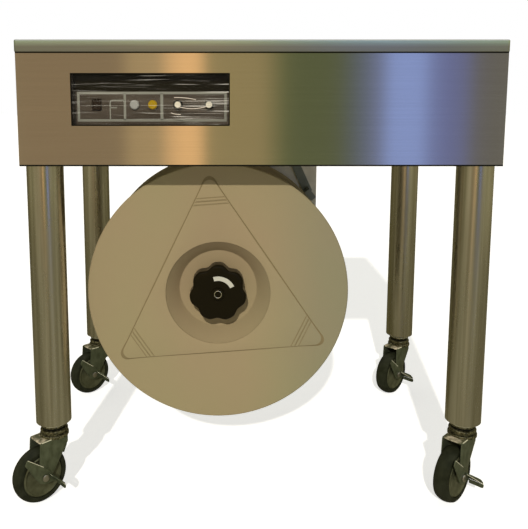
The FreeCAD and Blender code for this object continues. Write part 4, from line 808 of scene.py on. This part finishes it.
def swivel_rings(corner, under_leg):
    """The screwed stem, its bearing ring and the kingpin. A black neck above the ring and a black groove under
    it are painted shade, and a pale bead round the ring's shoulder is a painted highlight."""
    ring = np.concatenate(
        [
            [(0, 30), (8, 30), (8, -4.9), (19.5, -5.0)],
            arc(22.4, -7.75, 2.75, 90, -90, 10),
            [(19.0, -10.5), (19.0, -13.9), (6, -14.0), (6, -31.7), (10, -31.8), (10, -34.7), (0, -34.7)],
        ]
    )
    neck = [(8.0, -0.1), (14.5, -0.1), (15.5, -1.0), (15.5, -4.2), (17.5, -4.95), (8.0, -4.95)]
    groove = [
        (19.0, -10.55), (22.0, -10.55), (22.3, -11.2), (22.3, -13.2), (22.0, -13.85), (19.0, -13.85),
    ]
    highlight = arc(23.9, -5.9, 0.8, 0, 315, 8)
    item = lathe("bearing_ring_" + corner, ring, under_leg, RING_STEEL, 48 * FINE, False, 40)
    shown(item, "cabinet", "bright_steel", "caster_stem_" + corner)
    # Painted shade: the black neck above the bearing ring and the black groove under it.
    item = lathe("stem_neck_" + corner, neck, under_leg, BLACK_TRIM_AND_SHADE, 36 * FINE, sharp=40)
    shown(item, "cabinet", "bright_steel")
    item = lathe("ring_groove_" + corner, groove, under_leg, BLACK_TRIM_AND_SHADE, 36 * FINE, sharp=40)
    shown(item, "cabinet", "bright_steel")
    item = lathe("ring_bead_" + corner, highlight, under_leg, PAINTED_HIGHLIGHT, 48 * FINE, sharp=60)
    shown(item, "cabinet", "bright_steel")


def fork_cheeks(corner, on_axle):
    """The two cheeks of the stamped fork, which taper to the axle. The far one widens to meet the web."""
    foot, top = [(-13, -7), (0, -13), (13, -7)], [(54, 72.3), (-7, 72.3)]
    near = fillet(foot + [(54, 56.5)] + top, [8, 11, 8, 5, 4, 4], 6)
    far = fillet(foot + [(46, 33.2), (53, 49), (54, 58)] + top, [8, 11, 8, 3, 3, 3, 4, 4], 5)
    middle = (14, 30)
    item = plate("cheek_near_" + corner, near, 18.5, 21.0, 0.8, on_axle, CASTOR_STEEL, middle)
    shown(item, "fork_" + corner, "castor_steel", "caster_fork_" + corner)
    item = plate("cheek_far_" + corner, far, -21.0, -18.5, 0.8, on_axle, CASTOR_STEEL, middle)
    shown(item, "fork_" + corner, "castor_steel")


def fork_trim(corner, on_swivel, on_axle):
    """What joins the cheeks: the crown plate with its swivel dome, the axle with a round rivet head at each
    end, and the web. A pale bead along the top of the near cheek is a painted highlight."""
    crown = fillet(rectangle(-43, 18, -20.9, 20.9), [7, 8, 8, 7], 5)
    dome = np.concatenate(
        [
            [(6.2, 126), (28.5, 126), (28.5, 129)],
            arc(26.6, 129.4, 1.9, 0, 80, 5),
            [(23.6, 132.2), (23.6, 134.4)],
            arc(23.7, 138.0, 3.4, -85, 90, 10),
            [(6.2, 141.6)],
        ]
    )
    half = np.concatenate([[(5, 24.4), (7, 24.4)], arc(5.6, 25.8, 1.4, 0, 90, 4), [(0, 27.3)]])
    rivet = np.concatenate([half[::-1] * (1, -1), half])
    web = [(44.9, 34.4), (51.6, 49.0), (52.8, 57), (52.8, 69.6)]
    highlight = [(-3.5, 71.8, 20.4), (50.5, 71.8, 20.4)]
    over_wheel, upright = (on_swivel, *OVER_WHEEL), (on_swivel, *UPRIGHT)
    items = (
        plate("crown_" + corner, crown, 124.5, 127.5, 1.2, over_wheel, CROWN_STEEL),
        lathe("swivel_dome_" + corner, dome, upright, RING_STEEL, 48 * FINE, sharp=40),
        lathe("axle_rivet_" + corner, rivet, on_axle, PLAIN_STEEL, 28 * FINE, False, 40),
        ribbon("fork_web_" + corner, web, 2.0, -18.4, 18.4, 0.4, on_axle, CASTOR_STEEL),
        bead("painted_edge_highlight_" + corner, highlight, 0.9, on_axle, PAINTED_HIGHLIGHT),
    )
    for item in items:
        shown(item, "fork_" + corner, "castor_steel")


def brake_lever(corner, on_axle):
    """The stamped brake lever: a plate round the axle with its tail up over the tyre, and a foot tread
    folded outward along the top of its nose, with a lip turned down at its end. Pale beads on the top edges
    are painted highlights."""
    body, axle = "lever_" + corner, on_axle[0]
    outline = fillet(
        [(-37, 51), (-42, 41), (-13, -6.5), (0, -13), (13, -13), (27, -15.5), (27, -13), (14, 3), (9, 14)],
        [2, 3, 6, 6, 8, 1, 1, 3, 4], 5,
    )
    item = plate("lever_plate_" + corner, outline, 21.4, 23.9, 0.7, on_axle, CASTOR_STEEL, (-2, 2))
    shown(item, body, "castor_steel", "brake_lever_" + corner)

    drop = 20
    long = math.hypot(drop, drop)
    tread = fillet([(0, 21.6), (long, 21.6), (long, 53.2), (4, 53.2)], [0.5, 1, 7, 7], 5)
    start, down = axle + 7 * MM * (TRAIL + (0, 0, 1)), (TRAIL + (0, 0, -1)) / math.sqrt(2)
    lip = fillet(rectangle(23.4, 53.2, -21, -12.8), [1, 5, 1, 0.5], 5)
    nose = (axle + 27 * MM * TRAIL, SIDEWAYS, (0, 0, 1))
    items = (
        plate("foot_tread_" + corner, tread, -2.0, -0.1, 0.6, (start, down, SIDEWAYS), CASTOR_STEEL),
        plate("foot_lip_" + corner, lip, 0.1, 1.9, 0.5, nose, CASTOR_STEEL),
        bead("bright_tail_" + corner, [(-36.0, 50.0, 23.3), (-4, 24.2, 23.3)], 0.7, on_axle, PAINTED_HIGHLIGHT),
        bead("bright_nose_" + corner, [(9, 5.3, 26.0), (26.4, -12.2, 52.2)], 0.7, on_axle, PAINTED_HIGHLIGHT),
    )
    for item in items:
        shown(item, body, "castor_steel")


for corner in ("front_left", "front_right", "rear_left", "rear_right"):
    on_swivel = PIVOTS["swivel_" + corner] * (1, 1, 0)
    on_axle = (PIVOTS["roll_" + corner], *ALONG_AXLE)
    wheel(corner, on_axle)
    fork_cheeks(corner, on_axle)
    fork_trim(corner, on_swivel, on_axle)
    brake_lever(corner, on_axle)
    swivel_rings(corner, (on_swivel + (0, 0, LEG_FOOT * MM), *UPRIGHT))


# Stage

def stage_material(name):
    """A material of the stage with nothing in it yet, its nodes and the socket of its surface."""
    material = bpy.data.materials.new(name)
    material.use_nodes = True
    tree = material.node_tree
    tree.nodes.clear()
    return material, tree, tree.nodes.new("ShaderNodeOutputMaterial").inputs["Surface"]


def seen_directly(tree):
    """One for camera, glossy and transmission rays, and none for the rest."""
    path = tree.nodes.new("ShaderNodeLightPath")
    total = path.outputs["Is Camera Ray"]
    for kind in ("Is Glossy Ray", "Is Transmission Ray"):
        most = tree.nodes.new("ShaderNodeMath")
        most.operation = "MAXIMUM"
        tree.links.new(total, most.inputs[0])
        tree.links.new(path.outputs[kind], most.inputs[1])
        total = most.outputs[0]
    return total


def floor_finish():
    """A white floor that keeps the shadow, as white as the background where the camera sees it."""
    material, tree, surface = stage_material("studio_floor")
    matte = tree.nodes.new("ShaderNodeBsdfDiffuse")
    matte.inputs["Color"].default_value = (0.9, 0.9, 0.9, 1)
    glow = tree.nodes.new("ShaderNodeEmission")
    glow.inputs["Color"].default_value = (1, 1, 1, 1)
    tree.links.new(scaled(tree, seen_directly(tree), 0.0, 1.0, 0.0, 0.62), glow.inputs["Strength"])
    both = tree.nodes.new("ShaderNodeAddShader")
    tree.links.new(matte.outputs[0], both.inputs[0])
    tree.links.new(glow.outputs[0], both.inputs[1])
    tree.links.new(both.outputs[0], surface)
    return material


def studio_air():
    """The air round the machine: it lights with a weak warm glow, and is plain white where it is seen."""
    world = bpy.data.worlds.new("studio")
    bpy.context.scene.world = world
    world.use_nodes = True
    tree = world.node_tree
    direct = seen_directly(tree)
    tint = tree.nodes.new("ShaderNodeCombineColor")
    for channel, warm in (("Red", 1.0), ("Green", 0.98), ("Blue", 0.80)):
        tree.links.new(scaled(tree, direct, 0.0, 1.0, warm, 1.0), tint.inputs[channel])
    tree.links.new(tint.outputs["Color"], tree.nodes["Background"].inputs["Color"])
    tree.links.new(scaled(tree, direct, 0.0, 1.0, 0.25, 1.0), tree.nodes["Background"].inputs["Strength"])


FLOOR_HALF = 30
floor_corners = [(x, y, 0) for x, y in rectangle(-FLOOR_HALF, FLOOR_HALF, -FLOOR_HALF, FLOOR_HALF)]
shell("floor", floor_corners, [(0, 1, 2, 3)], floor_finish())
studio_air()

# What stands round the machine, by the angle from its front in degrees: where each band begins and ends,
# and its colour. Between two bands the colour blends.
WALL, LIT_WALL, LAMPLIGHT = (0.36, 0.26, 0.15), (0.57, 0.41, 0.21), (1.2, 0.72, 0.32)
SIDE_WALL, CURTAIN, SHADE = (0.43, 0.34, 0.16), (0.20, 0.21, 0.09), (0.15, 0.17, 0.08)
DUSK, BLUE, SKY, EVENING = (0.16, 0.19, 0.22), (0.25, 0.29, 0.49), (0.38, 0.50, 1.0), (0.22, 0.25, 0.52)
CORNER, OLIVE, DIM = (0.20, 0.19, 0.17), (0.40, 0.37, 0.22), (0.115, 0.10, 0.045)
FLOOR, DARK_FLOOR = (0.27, 0.245, 0.15), (0.18, 0.16, 0.09)
PALE_WALL, BACK_WALL, FAR_WALL = (0.42, 0.36, 0.22), (0.30, 0.27, 0.15), (0.24, 0.21, 0.11)
WALL_BANDS = [
    (-179, -130, DIM), (-98, -98, FAR_WALL), (-65, -65, BACK_WALL), (-42, -28, PALE_WALL),
    (-23, -12.5, WALL), (-12, -8, LIT_WALL), (-6.6, -3.5, LAMPLIGHT), (-2.9, 3.7, SIDE_WALL),
    (4.6, 4.6, CURTAIN), (6.5, 11, SHADE), (13.5, 13.5, DUSK), (15.5, 15.5, BLUE), (16.4, 20.4, SKY),
    (21.3, 23.5, EVENING), (25.5, 28, CORNER), (34, 64, OLIVE), (78, 112, BACK_WALL), (130, 179, DIM),
]
FLOOR_BANDS = [
    (-179, -130, DIM), (-90, -60, DARK_FLOOR), (-40, 40, FLOOR), (60, 90, DARK_FLOOR), (130, 179, DIM),
]
ROOM_RADIUS, ROOM_HEIGHT, CARD_HEIGHT = 3.4, 3.2, 0.004


def turn_share(angle):
    """An angle from the machine's front in degrees, as a share of the whole turn that starts behind it."""
    return angle / 360 + 0.5


def room_card(name, radius, height, bands):
    """A card of the room in upright bands, which only mirrored rays see: a surface swung round the machine,
    through points at the radii and heights given."""
    around = np.radians(np.linspace(-179.99, 179.99, 181))[:, None]
    grid = np.stack([radius * np.sin(around), -radius * np.cos(around), height + 0 * around], axis=-1)
    card = skin(name, grid, None, False, False)
    where = np.empty(len(card.data.vertices) * 3)
    card.data.vertices.foreach_get("co", where)
    x, y, z = where.reshape(-1, 3).T
    corner = np.empty(len(card.data.loops), int)
    card.data.loops.foreach_get("vertex_index", corner)
    turned = turn_share(np.degrees(np.arctan2(x, -y)))
    layer = card.data.uv_layers.new(name="bands")
    layer.data.foreach_set("uv", np.stack([turned, z / 4], 1)[corner].ravel())

    material, tree, surface = stage_material(name + "_bands")
    uv = tree.nodes.new("ShaderNodeUVMap")
    uv.uv_map = "bands"
    split = tree.nodes.new("ShaderNodeSeparateXYZ")
    tree.links.new(uv.outputs["UV"], split.inputs["Vector"])
    stops = [(turn_share(angle), colour) for start, end, colour in bands for angle in sorted({start, end})]
    glow = tree.nodes.new("ShaderNodeEmission")
    tree.links.new(ramp_of(tree, split.outputs["X"], stops), glow.inputs["Color"])
    tree.links.new(glow.outputs[0], surface)
    card.data.materials.append(material)
    card.visible_camera = card.visible_diffuse = card.visible_shadow = card.visible_transmission = False


rise = np.linspace(0, ROOM_HEIGHT, 8)
reach = np.linspace(0.001, ROOM_RADIUS, 12)
room_card("room_wall", ROOM_RADIUS + 0 * rise, rise, WALL_BANDS)
room_card("room_floor", reach, CARD_HEIGHT + 0 * reach, FLOOR_BANDS)


def sun_lamp(name, place, target, power, size, colour):
    """A sun lamp at a place, turned to a target. Its size is how wide it looks from there, in radians."""
    light = bpy.data.lights.new(name, "SUN")
    light.energy, light.color, light.angle = power, colour, size
    item = bpy.data.objects.new(name, light)
    bpy.context.scene.collection.objects.link(item)
    item.location = place
    item.rotation_mode = "QUATERNION"
    item.rotation_quaternion = (Vector(target) - Vector(place)).to_track_quat("-Z", "Y")
    item.visible_glossy = False


sun_lamp(
    "ceiling_lamp", place=(-0.5, -4.0, 2.77), target=(0, -0.2, 0.45), power=2.25, size=0.02,
    colour=(1.0, 0.95, 0.86),
)


def camera_at(place, tilt, lens, shift):
    """The camera: at a place, level but for its tilt down in radians, with its lens in millimetres."""
    camera = bpy.data.cameras.new("camera")
    camera.lens, camera.sensor_width = lens, 36
    camera.shift_x, camera.shift_y = shift
    eye = bpy.data.objects.new("camera", camera)
    eye.location = place
    eye.rotation_euler = (math.pi / 2 - tilt, 0, 0)
    bpy.context.scene.collection.objects.link(eye)
    bpy.context.scene.camera = eye


camera_at(place=(-0.0666, -1.4993, 0.7941), tilt=0.1305, lens=44.97, shift=(0.0734, -0.15))
bpy.context.scene.view_settings.view_transform = "Standard"
